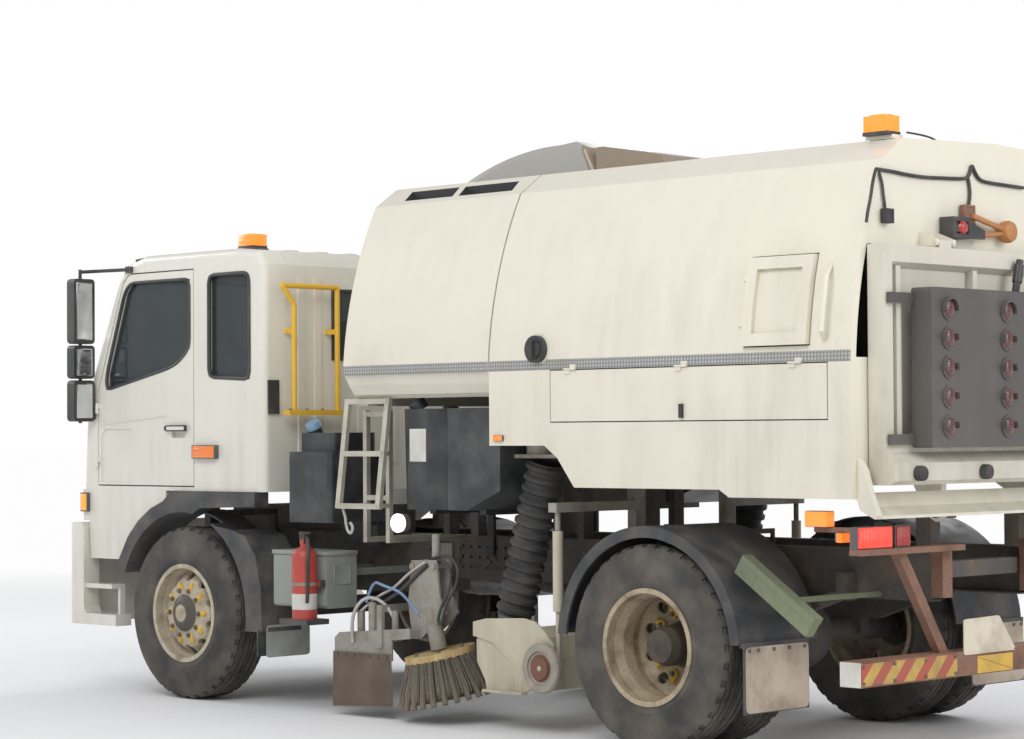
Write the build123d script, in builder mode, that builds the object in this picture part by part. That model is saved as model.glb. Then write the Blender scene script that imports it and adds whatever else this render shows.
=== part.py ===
# Street sweeper truck: a two-axle cab-over chassis with a tipping dust hopper,
# a fixed engine pod, and a suction nozzle and channel brush on each side.
# Millimetres. +X is the truck's front, +Y its left side and +Z is up.
# The origin is on the ground under the middle of the truck's length.
from build123d import *
from math import cos, hypot, radians, sin, sqrt
import os

os.makedirs("parts", exist_ok=True)

# Driving lengths along the truck
front_overhang = 1150
wheelbase = 3820
rear_overhang = 1545
overall_length = front_overhang + wheelbase + rear_overhang
rear_axle_x = rear_overhang - overall_length / 2
front_axle_x = rear_axle_x + wheelbase

# Clearances
seat_gap = 0.3
door_gap = 8
panel_gap = 12
pin_gap = 0.5

# Wheels and tyres
tyre_radius = 520
tyre_width = 278
bead_radius = 286
flange_radius = 298
front_wheel_y = 1020
rear_outer_y = 1078
rear_inner_y = 748
spindle_radius = 42
hand_hole_circle = 222
hand_hole_radius = 30
hand_hole_count = 10

# Chassis frame
rail_outer_y = 425
rail_flange = 80
rail_wall = 8
rail_top = 1010
rail_depth = 250
rail_rear = 1180
rail_front = 900
arch_radius = 612
arch_skin = 12
flare_radius = 700

# Steering and axles
kingpin_y = 885
kingpin_radius = 20
boss_radius = 44
beam_bottom = 455
beam_top = 560
spring_y = 470
spring_width = 76
spring_half = 640
rear_spring_half = 690
axle_tube_radius = 66

# Cab
cab_half = 1140
cab_wall = 60
cab_back = 755
cab_floor_z = 1262
cab_roof_z = 2715
door_rear = 100
door_front = 875
door_bottom = 1285
door_top = cab_roof_z - 103
hinge_x = door_front - 4
hinge_y = cab_half + 11
hinge_radius = 10
hinge_height = 32
door_hinge_z = (1400, 1740)
glass_thickness = 8
cab_round = 45

# Sweeper body, from the rear axle
body_half = 1200
shoulder_z = 1950
mid_y = body_half - 90
mid_z = 2480
eaves_y = body_half - 257
eaves_z = 2900
crest_y = body_half - 420
crest_z = 3012
roof_z = 3040
body_wall = 40
hopper_rear = 1290
hopper_front = 1120
pod_front = 2293
skirt_bottom = 1281
skirt_mid = 1318
skirt_front = 1535
tip_x = 1250
tip_z = 1200
tip_radius = 25
lug_y = 440
lug_width = 40
pod_floor = 1760
pod_floor_y = body_half - 120
dust_half = body_half - 200

# Locker doors, hatch, handle and cap on the hopper's side
handle_x = -1150
cap_x = 755
cap_z = 2040
cap_radius = 72
cap_boss = 9
locker_rear = 1153
locker_front = 670
locker_bottom = 1654
locker_top = 1931
locker_depth = 150
locker_door_thickness = 24
locker_hinge_x = (-1000, -280, 480)
locker_hinge_y = body_half + 8
hatch_rear = 1046
hatch_front = 634
hatch_bottom = 2010
hatch_top = 2456
hatch_hinge_x = 3 - hatch_front
hatch_knuckle_length = 30
hatch_knuckles = (14, 242)
hatch_axis_low = (body_half - 0.5, 2100)
hatch_axis_high = (body_half - 50.5, 2380)

# Rear door
door_half = body_half - 125
rear_door_bottom = 1345
rear_door_top = 2485
rear_hinge_x = 1375
rear_hinge_z = 2512
board_half = door_half - 205
board_bottom = 1520
board_top = 2282
board_front = 1398
board_back = rear_overhang

# Sweep gear, from the rear axle
hose_y = 900
hose_radius = 108
hose_bore = 78
hose_top_x = 985
hose_top_z = 1440
hose_low_x = 1232
hose_low_z = 615
nozzle_drop = 220
ram_x = 800
ram_y = 1010
ram_low = 655
jockey_x = 845
jockey_y = 1090
jockey_z = 358
jockey_radius = 133
brush_x = 1740
brush_y = 985
brush_high = 400
brush_tilt = 12
bristle_radius = 300
curtain_x = 2080
curtain_y = 1127
inlet_top = 1580
disc_radius = 200
tuft_count = 26
swing_x = 2260
swing_y = 545

sides = ((1, "left"), (-1, "right"))


def rear(x):
    """X of a point this far ahead of the rear axle."""
    return rear_axle_x + x


def front(x):
    """X of a point this far ahead of the front axle."""
    return front_axle_x + x


def block(low, high, mode=Mode.ADD):
    """A box between two corners."""
    size = [abs(b - a) for a, b in zip(low, high)]
    middle = [(a + b) / 2 for a, b in zip(low, high)]
    with Locations(tuple(middle)):
        return Box(*size, mode=mode)


def rod(start, end, radius, mode=Mode.ADD):
    """A round bar from one point to another."""
    a = Vector(*start)
    b = Vector(*end)
    with Locations(Plane(origin=(a + b) / 2, z_dir=(b - a)).location):
        return Cylinder(radius, (b - a).length, mode=mode)


def side_plane(y):
    """The plane of a side view at this Y, seen so that X runs right and Z up."""
    return Plane(origin=(0, y, 0), x_dir=(1, 0, 0), z_dir=(0, -1, 0))


def side_plate(points, y_low, y_high, mode=Mode.ADD):
    """A plate with this side-view outline, between two values of Y."""
    with BuildSketch(side_plane(y_high)) as outline:
        with BuildLine():
            Polyline(*points, close=True)
        make_face()
    return extrude(outline.sketch, amount=y_high - y_low, mode=mode)


def save(part, name):
    part.label = name
    export_step(part, "parts/" + name + ".step")


def ring(profile, centre, side, mode=Mode.ADD):
    """Turn (radius, outward distance) points about the axle line through centre."""
    plane = Plane(origin=centre, x_dir=(0, 0, 1), z_dir=(-side, 0, 0))
    # Here the sketch's x is the radius, up the truck, and its y is outward.
    with BuildSketch(plane) as section:
        with BuildLine():
            Polyline(*profile, close=True)
        make_face()
    axis = Axis(origin=centre, direction=(0, side, 0))
    return revolve(section.sketch, axis=axis, mode=mode)


def tyre_profile():
    """Section of a tyre as (radius, distance from its middle)."""
    half = tyre_width / 2
    crown = tyre_radius
    return (
        (bead_radius, half - 26), (bead_radius + 40, half - 6), (bead_radius + 110, half),
        (crown - 45, half - 8), (crown - 8, half - 26), (crown, half - 60),
        (crown, 60 - half), (crown - 8, 26 - half), (crown - 45, 8 - half),
        (bead_radius + 110, -half), (bead_radius + 40, 6 - half), (bead_radius, 26 - half),
    )


def rim_shell(centre, side):
    """The rolled rim that the tyre's beads sit on."""
    half = tyre_width / 2 - 26
    inner = bead_radius - 34
    profile = (
        (flange_radius, half + 18), (flange_radius, half + 7), (bead_radius - seat_gap, half + 1),
        (bead_radius - seat_gap, -half - 1), (flange_radius, -half - 7), (flange_radius, -half - 18),
        (bead_radius - 12, -half - 18), (bead_radius - 12, -half + 40), (inner, -half + 60),
        (inner, half - 90), (bead_radius - 14, half - 40), (bead_radius - 14, half + 18),
    )
    ring(profile, centre, side)


# Chassis frame: two channel rails, open towards each other, and crossmembers
rail_bottom = rail_top - rail_depth
rail_low_x = rear(-rail_rear)
rail_high_x = front(rail_front)
crossmember_x = (rear(-1120), rear(-560), rear(560), rear(1700), front(-1230), front(740))
with BuildPart() as chassis_frame:
    for side, _ in sides:
        outer = side * rail_outer_y
        web = side * (rail_outer_y - rail_wall)
        lip = side * (rail_outer_y - rail_flange)
        block((rail_low_x, outer, rail_bottom), (rail_high_x, web, rail_top))
        block((rail_low_x, outer, rail_top - rail_wall), (rail_high_x, lip, rail_top))
        block((rail_low_x, outer, rail_bottom), (rail_high_x, lip, rail_bottom + rail_wall))
    for x in crossmember_x:
        block((x - 45, -rail_outer_y + rail_wall, rail_bottom + 110), (x + 45, rail_outer_y - rail_wall, rail_top - 60))
    # Rows of spare bolt holes in the rails' webs, under the tanks.
    with BuildSketch(side_plane(rail_outer_y + 5)) as holes:
        with Locations((rear(1950), rail_top - rail_depth / 2)):
            with GridLocations(70, 60, 6, 3):
                Circle(11)
    extrude(holes.sketch, amount=2 * rail_outer_y + 10, mode=Mode.SUBTRACT)
save(chassis_frame.part, "chassis_frame")

# Front axle: a dropped beam with kingpin bosses, leaf springs and their hangers
with BuildPart() as front_axle:
    block((front(-48), -kingpin_y, beam_bottom), (front(48), kingpin_y, beam_top))
    for side, _ in sides:
        with Locations((front_axle_x, side * kingpin_y, (beam_bottom + beam_top) / 2)):
            Cylinder(boss_radius, beam_top - beam_bottom)
    for side, _ in sides:
        rod((front_axle_x, side * kingpin_y, beam_bottom - 1), (front_axle_x, side * kingpin_y, beam_top + 1),
            kingpin_radius + pin_gap, mode=Mode.SUBTRACT)
        low_y = side * (spring_y - spring_width / 2)
        high_y = side * (spring_y + spring_width / 2)
        spring = (
            (front(-spring_half), 700), (front(-200), beam_top + 20), (front(200), beam_top + 20),
            (front(spring_half), 700), (front(spring_half), 730), (front(200), beam_top + 80),
            (front(-200), beam_top + 80), (front(-spring_half), 730),
        )
        side_plate(spring, min(low_y, high_y), max(low_y, high_y))
        block((front(-90), low_y, beam_top - 10), (front(90), high_y, beam_top + 30))
        for end in (-1, 1):
            hanger_x = front(end * spring_half)
            block((hanger_x - 35, side * (rail_outer_y + seat_gap), 690),
                  (hanger_x + 35, side * (rail_outer_y + 88), rail_bottom + 120))
save(front_axle.part, "front_axle")

# Rear axle: tube, banjo bowl and leaf springs
spring_seat = tyre_radius + axle_tube_radius
shaft_end = 260
shaft_end_z = tyre_radius + 40
with BuildPart() as rear_axle:
    rod((rear_axle_x, -rear_inner_y - 90, tyre_radius), (rear_axle_x, rear_inner_y + 90, tyre_radius), axle_tube_radius)
    rod((rear_axle_x, -rear_outer_y + 40, tyre_radius), (rear_axle_x, rear_outer_y - 40, tyre_radius), spindle_radius)
    with Locations((rear_axle_x, 0, tyre_radius)):
        Sphere(190)
    rod((rear(100), 0, shaft_end_z), (rear(shaft_end), 0, shaft_end_z), 62)
    for side, _ in sides:
        low_y = side * (rail_outer_y + 6)
        high_y = side * (rail_outer_y + 6 + spring_width)
        spring = (
            (rear(-rear_spring_half), 760), (rear(-200), spring_seat), (rear(200), spring_seat), (rear(rear_spring_half), 760),
            (rear(rear_spring_half), 800), (rear(200), spring_seat + 110), (rear(-200), spring_seat + 110),
            (rear(-rear_spring_half), 800),
        )
        side_plate(spring, min(low_y, high_y), max(low_y, high_y))
        block((rear(-100), low_y, tyre_radius - 20), (rear(100), high_y, tyre_radius + axle_tube_radius + 20))
        for end in (-1, 1):
            hanger_x = rear(end * rear_spring_half)
            block((hanger_x - 35, side * (rail_outer_y + seat_gap), 750),
                  (hanger_x + 35, side * (rail_outer_y + 84), rail_bottom + 130))
save(rear_axle.part, "rear_axle")

# Heavy masses: truck engine, gearbox and shaft under the cab, and the fan engine in the pod
with BuildPart() as engines:
    block((front(-520), -300, 640), (front(560), 300, 1150))
    block((front(-1130), -190, 640), (front(-520), 190, 980))
    rod((front(-1100), 0, 800), (rear(shaft_end + 6), 0, shaft_end_z), 48)
    for side, _ in sides:
        block((front(200), side * 290, 790), (front(280), side * (rail_outer_y - rail_wall - seat_gap), 850))
        block((front(-900), side * 180, 790), (front(-840), side * (rail_outer_y - rail_wall - seat_gap), 850))
save(engines.part, "engines")

with BuildPart() as pod_engine:
    block((rear(1300), -430, 1180), (rear(2100), 430, 1700))
    for x in (1340, 2000):
        for side, _ in sides:
            block((rear(x), side * 350, rail_top + seat_gap), (rear(x + 60), side * 420, 1180))
save(pod_engine.part, "pod_engine")

# Wheels. Each front wheel has an outset disc, each rear pair a deep dish.

def hand_holes(centre, side, low, high):
    """Round holes through a wheel's disc."""
    for index in range(hand_hole_count):
        angle = radians((index + 0.5) * 360 / hand_hole_count)
        x = centre[0] + hand_hole_circle * cos(angle)
        z = centre[2] + hand_hole_circle * sin(angle)
        rod((x, side * low, z), (x, side * high, z), hand_hole_radius, mode=Mode.SUBTRACT)


for side, word in sides:
    centre = (front_axle_x, side * front_wheel_y, tyre_radius)
    with BuildPart() as front_tyre:
        ring(tyre_profile(), centre, side)
    save(front_tyre.part, "front_tyre_" + word)
    with BuildPart() as front_rim:
        rim_shell(centre, side)
        ring(((spindle_radius + pin_gap, -60), (spindle_radius + pin_gap, 70), (0, 70), (0, 150), (70, 150),
              (112, 120), (160, 112), (205, 92), (258, 20), (258, -4), (196, 74), (112, 96), (112, -20),
              (200, -20), (200, -60)), centre, side)
        hand_holes(centre, side, front_wheel_y + 5, front_wheel_y + 130)
    save(front_rim.part, "front_rim_" + word)
    with BuildPart() as rear_tyres:
        ring(tyre_profile(), (rear_axle_x, side * rear_outer_y, tyre_radius), side)
        ring(tyre_profile(), (rear_axle_x, side * rear_inner_y, tyre_radius), side)
    save(rear_tyres.part, "rear_tyres_" + word)
    outer = (rear_axle_x, side * rear_outer_y, tyre_radius)
    inner = (rear_axle_x, side * rear_inner_y, tyre_radius)
    dish = (rear_outer_y + rear_inner_y) / 2 - rear_outer_y
    with BuildPart() as rear_rims:
        rim_shell(outer, side)
        rim_shell(inner, side)
        ring(((spindle_radius + pin_gap, dish - 40), (spindle_radius + pin_gap, dish + 150), (0, dish + 150),
              (0, dish + 210), (84, dish + 200), (104, dish + 150), (104, dish + 14), (215, dish + 14),
              (278, dish + 50), (278, dish + 36), (222, dish), (278, dish - 36), (278, dish - 50),
              (215, dish - 14), (130, dish - 14), (130, dish - 40)), outer, side)
        hand_holes(outer, side, rear_outer_y + dish - 30, rear_outer_y + dish + 40)
    save(rear_rims.part, "rear_rims_" + word)
    with BuildPart() as knuckle:
        pin = (front_axle_x, side * kingpin_y)
        rod((*pin, beam_bottom - 44), (*pin, beam_top + 44), kingpin_radius)
        for low, high in ((beam_bottom - 44, beam_bottom - 5), (beam_top + 5, beam_top + 44)):
            rod((*pin, low), (*pin, high), boss_radius)
            block((front(-40), side * kingpin_y, low), (front(40), side * (kingpin_y + 72), high))
        block((front(-60), side * (kingpin_y + 54), beam_bottom - 44), (front(60), side * (kingpin_y + 74), beam_top + 44))
        rod((front_axle_x, side * (kingpin_y + 60), tyre_radius), (front_axle_x, side * (front_wheel_y + 68), tyre_radius),
            spindle_radius)
    save(knuckle.part, "knuckle_" + word)

# Cab side view, from the front axle
roof_front = 520
cab_outline = (
    (front(-cab_back), cab_floor_z), (front(-cab_back), cab_roof_z - 105), (front(-cab_back + 60), cab_roof_z - 20),
    (front(-cab_back + 260), cab_roof_z), (front(roof_front - 120), cab_roof_z), (front(roof_front + 80), cab_roof_z - 50),
    (front(660), cab_roof_z - 115), (front(965), 1930), (front(1010), 1700), (front(1035), cab_floor_z),
)
cabin_outline = (
    (front(-cab_back + cab_wall), cab_floor_z + 50), (front(-cab_back + cab_wall), cab_roof_z - 115),
    (front(-cab_back + 240), cab_roof_z - cab_wall), (front(roof_front - 130), cab_roof_z - cab_wall),
    (front(615), cab_roof_z - 135), (front(900), 1925), (front(940), 1690), (front(950), cab_floor_z + 50),
)
windscreen_low = (front(965), 1930)
windscreen_high = (front(660), cab_roof_z - 115)
side_door = (
    (front(-door_rear), door_bottom), (front(door_front), door_bottom), (front(door_front), 1880),
    (front(610), door_top - 52), (front(540), door_top), (front(-door_rear), door_top),
)
door_window = (
    (front(-60), 2130), (front(60), 2040), (front(160), 2008), (front(790), 1885), (front(785), 1990), (front(600), door_top - 122),
    (front(540), door_top - 60), (front(-60), door_top - 60),
)
quarter_window = ((front(-628), 1930), (front(-241), 1950), (front(-241), door_top - 47), (front(-600), door_top - 47),
                  (front(-628), door_top - 82))


def hinge_leaf(z, side, x_low, x_high):
    """One knuckle of a door hinge, with the leaf that joins it to its panel."""
    rod((front(hinge_x), side * hinge_y, z), (front(hinge_x), side * hinge_y, z + hinge_height), hinge_radius)
    block((front(x_low), side * cab_half, z), (front(x_high), side * hinge_y, z + hinge_height))


def arch_point(angle, radius):
    """A point on a circle round the front wheel, by its angle up from straight ahead."""
    return (front(radius * cos(radians(angle))), tyre_radius + radius * sin(radians(angle)))


def corner_panel(y_low, y_high):
    """The white panel between a wheel's flare and the cab's front corner."""
    with BuildSketch(side_plane(y_high)) as outline:
        with BuildLine():
            tip = arch_point(26, flare_radius + seat_gap)
            end = arch_point(75, flare_radius + seat_gap)
            ThreePointArc(tip, arch_point(50, flare_radius + seat_gap), end)
            Polyline(end, (end[0], cab_floor_z), (front(1035), cab_floor_z), (front(1028), 1065), (front(965), 1065),
                     (front(950), tip[1]), tip)
        make_face()
    extrude(outline.sketch, amount=y_high - y_low)


with BuildPart() as cab_shell:
    side_plate(cab_outline, -cab_half, cab_half)
    # Both side faces' edges are rounded, apart from those along the floor.
    ends = cab_shell.faces().sort_by(Axis.Y)
    rims = ends[0].edges() + ends[-1].edges()
    fillet(rims.filter_by(lambda edge: edge.center().Z > cab_floor_z + 10), cab_round)
    side_plate(cabin_outline, cab_wall - cab_half, cab_half - cab_wall, mode=Mode.SUBTRACT)
    for side, _ in sides:
        y_low = min(side * (cab_half - cab_wall - 5), side * (cab_half + 5))
        y_high = max(side * (cab_half - cab_wall - 5), side * (cab_half + 5))
        side_plate(side_door, y_low, y_high, mode=Mode.SUBTRACT)
        side_plate(quarter_window, y_low, y_high, mode=Mode.SUBTRACT)
        for z in door_hinge_z:
            hinge_leaf(z, side, hinge_x, door_front + 24)
        corner_panel(min(side * (cab_half - 50), side * cab_half), max(side * (cab_half - 50), side * cab_half))
        # Pressed ribs along the roof and up the back wall.
        for y in (190, 430, 670):
            block((front(-480), side * (y - 40), cab_roof_z - 5), (front(340), side * (y + 40), cab_roof_z + 9))
        for y in (720, 850):
            block((front(-cab_back - 9), side * (y - 26), 1420), (front(-cab_back + 5), side * (y + 26), 2540))
    for y in (-360, -120, 120, 360):
        block((front(-cab_back - 9), y - 40, 1420), (front(-cab_back + 5), y + 40, 1980))
    # The windscreen and rear window openings run right through their walls.
    screen = ((front(990), 1985), (front(690), cab_roof_z - 75), (front(570), cab_roof_z - 170), (front(850), 1940))
    side_plate(screen, -cab_half + 90, cab_half - 90, mode=Mode.SUBTRACT)
    block((front(-cab_back - 5), -600, 2055), (front(-cab_back + cab_wall + 5), 600, 2470), mode=Mode.SUBTRACT)
save(cab_shell.part, "cab_shell")

# Cab glass: windscreen, rear window and quarter windows, each in its opening
with BuildPart() as cab_glass:
    pane = ((front(925), 1970), (front(650), cab_roof_z - 140), (front(642), cab_roof_z - 144), (front(917), 1966))
    side_plate(pane, -cab_half + 90 + seat_gap, cab_half - 90 - seat_gap)
    block((front(-cab_back + 20), -600 + seat_gap, 2055 + seat_gap), (front(-cab_back + 20 + glass_thickness), 600 - seat_gap, 2470 - seat_gap))
    for side, _ in sides:
        y_in = side * (cab_half - 34)
        y_out = side * (cab_half - 34 + glass_thickness)
        side_plate(quarter_window, min(y_in, y_out), max(y_in, y_out))
save(cab_glass.part, "cab_glass")

for side, word in sides:
    gap = door_gap
    door_outline = (
        (front(-door_rear + gap), door_bottom + gap), (front(door_front - gap), door_bottom + gap),
        (front(door_front - gap), 1880 - gap / 2), (front(610 - gap), door_top - 52 - gap), (front(540), door_top - gap),
        (front(-door_rear + gap), door_top - gap),
    )
    y_in = side * (cab_half - cab_wall)
    y_out = side * cab_half
    with BuildPart() as cab_door:
        side_plate(door_outline, min(y_in, y_out), max(y_in, y_out))
        side_plate(door_window, min(y_in, y_out) - 5, max(y_in, y_out) + 5, mode=Mode.SUBTRACT)
        # A shallow recess low at the front, a crease above it, and the handle over its hollow.
        recess = ((front(500), 1350), (front(530), 1310), (front(840), 1310), (front(840), 1600), (front(800), 1640), (front(520), 1640))
        side_plate(recess, min(y_out, side * (cab_half - 7)), max(y_out, side * (cab_half - 7)), mode=Mode.SUBTRACT)
        crease = ((front(180), 1716), (front(862), 1664), (front(862), 1676), (front(180), 1722))
        side_plate(crease, min(y_out, side * (cab_half + 5)), max(y_out, side * (cab_half + 5)))
        block((front(-10), side * (cab_half - 22), 1585), (front(120), side * (cab_half + 1), 1662), mode=Mode.SUBTRACT)
        block((front(-34), side * (cab_half - 22), 1632), (front(-14), side * (cab_half + 22), 1654))
        block((front(124), side * (cab_half - 22), 1632), (front(144), side * (cab_half + 22), 1654))
        block((front(-34), side * (cab_half + 12), 1630), (front(144), side * (cab_half + 26), 1656))
        for z in door_hinge_z:
            hinge_leaf(z + hinge_height + seat_gap, side, door_front - gap - 24, hinge_x)
    save(cab_door.part, "cab_door_" + word)
    with BuildPart() as door_glass:
        y_in = side * (cab_half - 36)
        y_out = side * (cab_half - 36 + glass_thickness)
        side_plate(door_window, min(y_in, y_out), max(y_in, y_out))
    save(door_glass.part, "door_glass_" + word)

# Cab interior: dashboard, steering wheel on its column and two seats
with BuildPart() as cab_interior:
    side_plate(((front(620), cab_floor_z + 50 + seat_gap), (front(900), cab_floor_z + 50 + seat_gap), (front(880), 1900),
                (front(700), 1960), (front(600), 1850)), -cab_half + 100, cab_half - 100)
    rod((front(640), -480, 1840), (front(470), -480, 1990), 30)
    with Locations(Plane(origin=(front(462), -480, 1997), z_dir=(-0.75, 0, 0.66)).location):
        Torus(215, 17)
        Cylinder(45, 30)
        Box(420, 36, 16)
    for seat_y in (-480, 480):
        block((front(-420), seat_y - 240, cab_floor_z + 50 + seat_gap), (front(90), seat_y + 240, 1560))
        side_plate(((front(-420), 1500), (front(-260), 1500), (front(-380), 2300), (front(-480), 2300)),
                   seat_y - 225, seat_y + 225)
save(cab_interior.part, "cab_interior")

# Cab trim in dark plastic: grille, sun visor, door-pillar vents and wiper panel
with BuildPart() as cab_trim:
    grille = ((front(1033 + seat_gap), 1300), (front(1060), 1300), (front(1040), 1640), (front(1013.7 + seat_gap), 1640))
    side_plate(grille, -700, 700)
    for z in (1340, 1400, 1460, 1520, 1580):
        block((front(1045 - (z - 1300) / 17), -660, z), (front(1070), 660, z + 28), mode=Mode.SUBTRACT)
    visor = ((front(700), cab_roof_z - 85), (front(720), cab_roof_z + 1), (front(560), cab_roof_z + 13), (front(540), cab_roof_z + 7),
             (front(700), cab_roof_z - 15), (front(684), cab_roof_z - 79))
    side_plate(visor, -cab_half + 180, cab_half - 180)
    for side, _ in sides:
        block((front(545), side * (cab_half - 340), cab_roof_z - 36), (front(575), side * (cab_half - 310), cab_roof_z + 11))
        block((front(-cab_back - seat_gap), side * 1030, 1722), (front(-cab_back - 14), side * 1110, 1923))
save(cab_trim.part, "cab_trim")

# Front bumper with a step at each end and a towing eye on each rail's end
tow_x = 1100
tow_y = 385
tow_z = 535
tow_radius = 20
lamp_back = 1110
lamp_low_y = cab_half - 440
lamp_high_y = cab_half - 140
bumper_side = (
    (front(1000), 1050), (front(1110), 1050), (front(1150), 1000), (front(1150), 500), (front(1110), 410),
    (front(640), 410), (front(640), 480), (front(950), 480), (front(975), 520), (front(975), 1020),
)
with BuildPart() as front_bumper:
    side_plate(bumper_side, -cab_half - 40, cab_half + 40)
    corners = front_bumper.edges().filter_by(Axis.Z).group_by(Axis.X)[-1]
    fillet(corners, 70)
    block((front(600), -cab_half + 80, 380), (front(1090), cab_half - 80, 1060), mode=Mode.SUBTRACT)
    # The lower air intake, between the lamps.
    block((front(1080), -560, 470), (front(1160), 560, 600), mode=Mode.SUBTRACT)
    for side, _ in sides:
        block((front(rail_front + seat_gap), side * 345, rail_bottom + 40), (front(1095), side * 425, rail_top - 40))
        eye = ((front(960), rail_bottom + 60), (front(960), 600), (front(tow_x - 44), tow_z - 20), (front(tow_x - 20), tow_z - 42),
               (front(tow_x + 20), tow_z - 42), (front(tow_x + 40), tow_z - 20), (front(tow_x + 40), tow_z + 60), (front(1095), rail_bottom + 60))
        side_plate(eye, side * tow_y - 13, side * tow_y + 13)
        rod((front(tow_x), side * (tow_y - 20), tow_z), (front(tow_x), side * (tow_y + 20), tow_z), tow_radius, mode=Mode.SUBTRACT)
        block((front(700), side * (cab_half - 78), 640), (front(985), side * (cab_half + 25), 668))
        block((front(700), side * (cab_half - 78), 470), (front(722), side * (cab_half - 40), 668))
        block((front(lamp_back - seat_gap), side * (lamp_low_y - seat_gap), 700 - seat_gap),
              (front(1160), side * (lamp_high_y + seat_gap), 860 + seat_gap),
              mode=Mode.SUBTRACT)
save(front_bumper.part, "front_bumper")

# Front wheel guards: a flare outside, a liner over the tyre, and a deep guard with a flap behind it


def arch(centre_x, radius, plate, start, end, y_low, y_high):
    """A curved plate over a wheel between two angles from straight ahead."""
    with BuildSketch(side_plane(y_high)) as outline:
        with BuildLine():
            ends = []
            for angle in (start, (start + end) / 2, end):
                ends.append([(centre_x + r * cos(radians(angle)), tyre_radius + r * sin(radians(angle)))
                             for r in (radius, radius + plate)])
            low, mid, high = ends
            ThreePointArc(low[0], mid[0], high[0])
            Line(high[0], high[1])
            ThreePointArc(high[1], mid[1], low[1])
            Line(low[1], low[0])
        make_face()
    extrude(outline.sketch, amount=y_high - y_low)


def arched_panel(start, end, outer, y_low, y_high):
    """A panel whose lower edge follows the wheel opening between two angles, closed by other points."""
    with BuildSketch(side_plane(y_high)) as outline:
        with BuildLine():
            first = arch_point(start, arch_radius)
            last = arch_point(end, arch_radius)
            ThreePointArc(first, arch_point((start + end) / 2, arch_radius), last)
            Polyline(last, *outer, first)
        make_face()
    extrude(outline.sketch, amount=y_high - y_low)


flare_top = cab_floor_z - seat_gap
flare_line = [arch_point(angle, flare_radius) for angle in (75, 64, 52, 40, 26)]
guard_line = ((front(-760), 440), (front(-752), 700), (front(-700), 890), (front(-610), 1000), (front(-480), 1035))
with BuildPart() as front_mudguards:
    for side, _ in sides:
        inner = side * 860
        wall = side * 1150
        face = side * 1165
        arch(front_axle_x, arch_radius, arch_skin, 22, 130, min(inner, side * 1070), max(inner, side * 1070))
        arched_panel(22, 100, ((front(-180), 1160), (front(-700), 1175), (front(-700), flare_top), (front(100), flare_top), *flare_line),
                     min(side * 1060, face), max(side * 1060, face))
        arch(front_axle_x, arch_radius, arch_skin, 118, 187, min(inner, face), max(inner, face))
        arched_panel(118, 187, guard_line, min(wall, face), max(wall, face))
        back = (*guard_line, (front(-480), 1023), (front(-603), 989), (front(-690), 884), (front(-740), 698), (front(-748), 440))
        side_plate(back, min(inner, wall), max(inner, wall))
        block((front(-748), side * 870, 440), (front(-600), face, 452))
        block((front(-745), side * 780, 300), (front(-733), side * 1180, 452))
        block((front(-30), side * (rail_outer_y + seat_gap), tyre_radius + arch_radius - 30),
              (front(30), side * 870, tyre_radius + arch_radius + 6))
        block((front(-30), side * (rail_outer_y + seat_gap), 900), (front(30), side * (rail_outer_y + 20), tyre_radius + arch_radius))
        block((front(-760), side * (rail_outer_y + seat_gap), 860), (front(-730), side * 900, 890))
save(front_mudguards.part, "front_mudguards")

# Mirrors on their arms, three heads a side
mirror_y = cab_half + 100
mirror_arm_z = cab_roof_z - 80
with BuildPart() as mirrors:
    for side, _ in sides:
        for low, high, x_back in ((2180, 2590, 880), (1960, 2170, 880), (1690, 1950, 880)):
            block((front(x_back), side * (mirror_y - 80), low), (front(x_back + 75), side * (mirror_y + 80), high))
    fillet(mirrors.edges().filter_by(Axis.X), 26)
    for side, _ in sides:
        rod((front(925), side * mirror_y, 1680), (front(925), side * mirror_y, mirror_arm_z + 16), 11)
        rod((front(925), side * mirror_y, mirror_arm_z), (front(530), side * (cab_half + 14), mirror_arm_z), 11)
        block((front(505), side * (cab_half + seat_gap), mirror_arm_z - 20), (front(560), side * (cab_half + 22), mirror_arm_z + 20))
        rod((front(925), side * mirror_y, 1724), (front(925), side * (cab_half + 14), 1724), 9)
        block((front(900), side * (cab_half + seat_gap), 1704), (front(950), side * (cab_half + 20), 1744))
save(mirrors.part, "mirrors")

# Lamps on the truck itself: head and corner lamps, beacon, side markers and tail clusters
with BuildPart() as lamps:
    for side, _ in sides:
        block((front(lamp_back), side * lamp_low_y, 700), (front(1149), side * lamp_high_y, 860))
        block((front(960), side * (cab_half + seat_gap), 1120), (front(1030), side * (cab_half + 25), 1240))
        block((front(-335), side * (cab_half + seat_gap), 1458), (front(-115), side * (cab_half + 34), 1540))
        for y_low, y_high in ((905, 1175), (760, 880)):
            block((rear(-1300), side * y_low, 1045), (rear(-1262), side * y_high, 1150))
        block((rear(-1105), side * 1102, 1145 + seat_gap), (rear(-980), side * 1160, 1222))
        block((rear(-1180), side * 1040, 1076), (rear(-1140), side * 1140, 1120 - seat_gap))
        block((rear(1010), side * (body_half + seat_gap), 1560), (rear(1080), side * (body_half + 14), 1590))
    block((front(-365), 770, cab_roof_z + seat_gap), (front(-215), 900, cab_roof_z + 22))
    block((front(-355), 780, cab_roof_z + 20), (front(-225), 890, cab_roof_z + 105))
    rod((rear(2000), 1000, 1100), (rear(2000), 1060, 1100), 50)
    block((rear(2030), 1014, 1085), (rear(2085 - seat_gap), 1036, 1115))
save(lamps.part, "lamps")

# Boxes and tanks on the rails behind the cab
box_side_y = 1130
with BuildPart() as battery_box:
    block((rear(2520), 900, 600), (rear(2990), box_side_y, 915))
    fillet(battery_box.edges().filter_by(Axis.X), 22)
    for x in (2580, 2890):
        block((rear(x), rail_outer_y + seat_gap, rail_bottom + 20), (rear(x + 40), 905, rail_bottom + 60))
save(battery_box.part, "battery_box")

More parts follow.
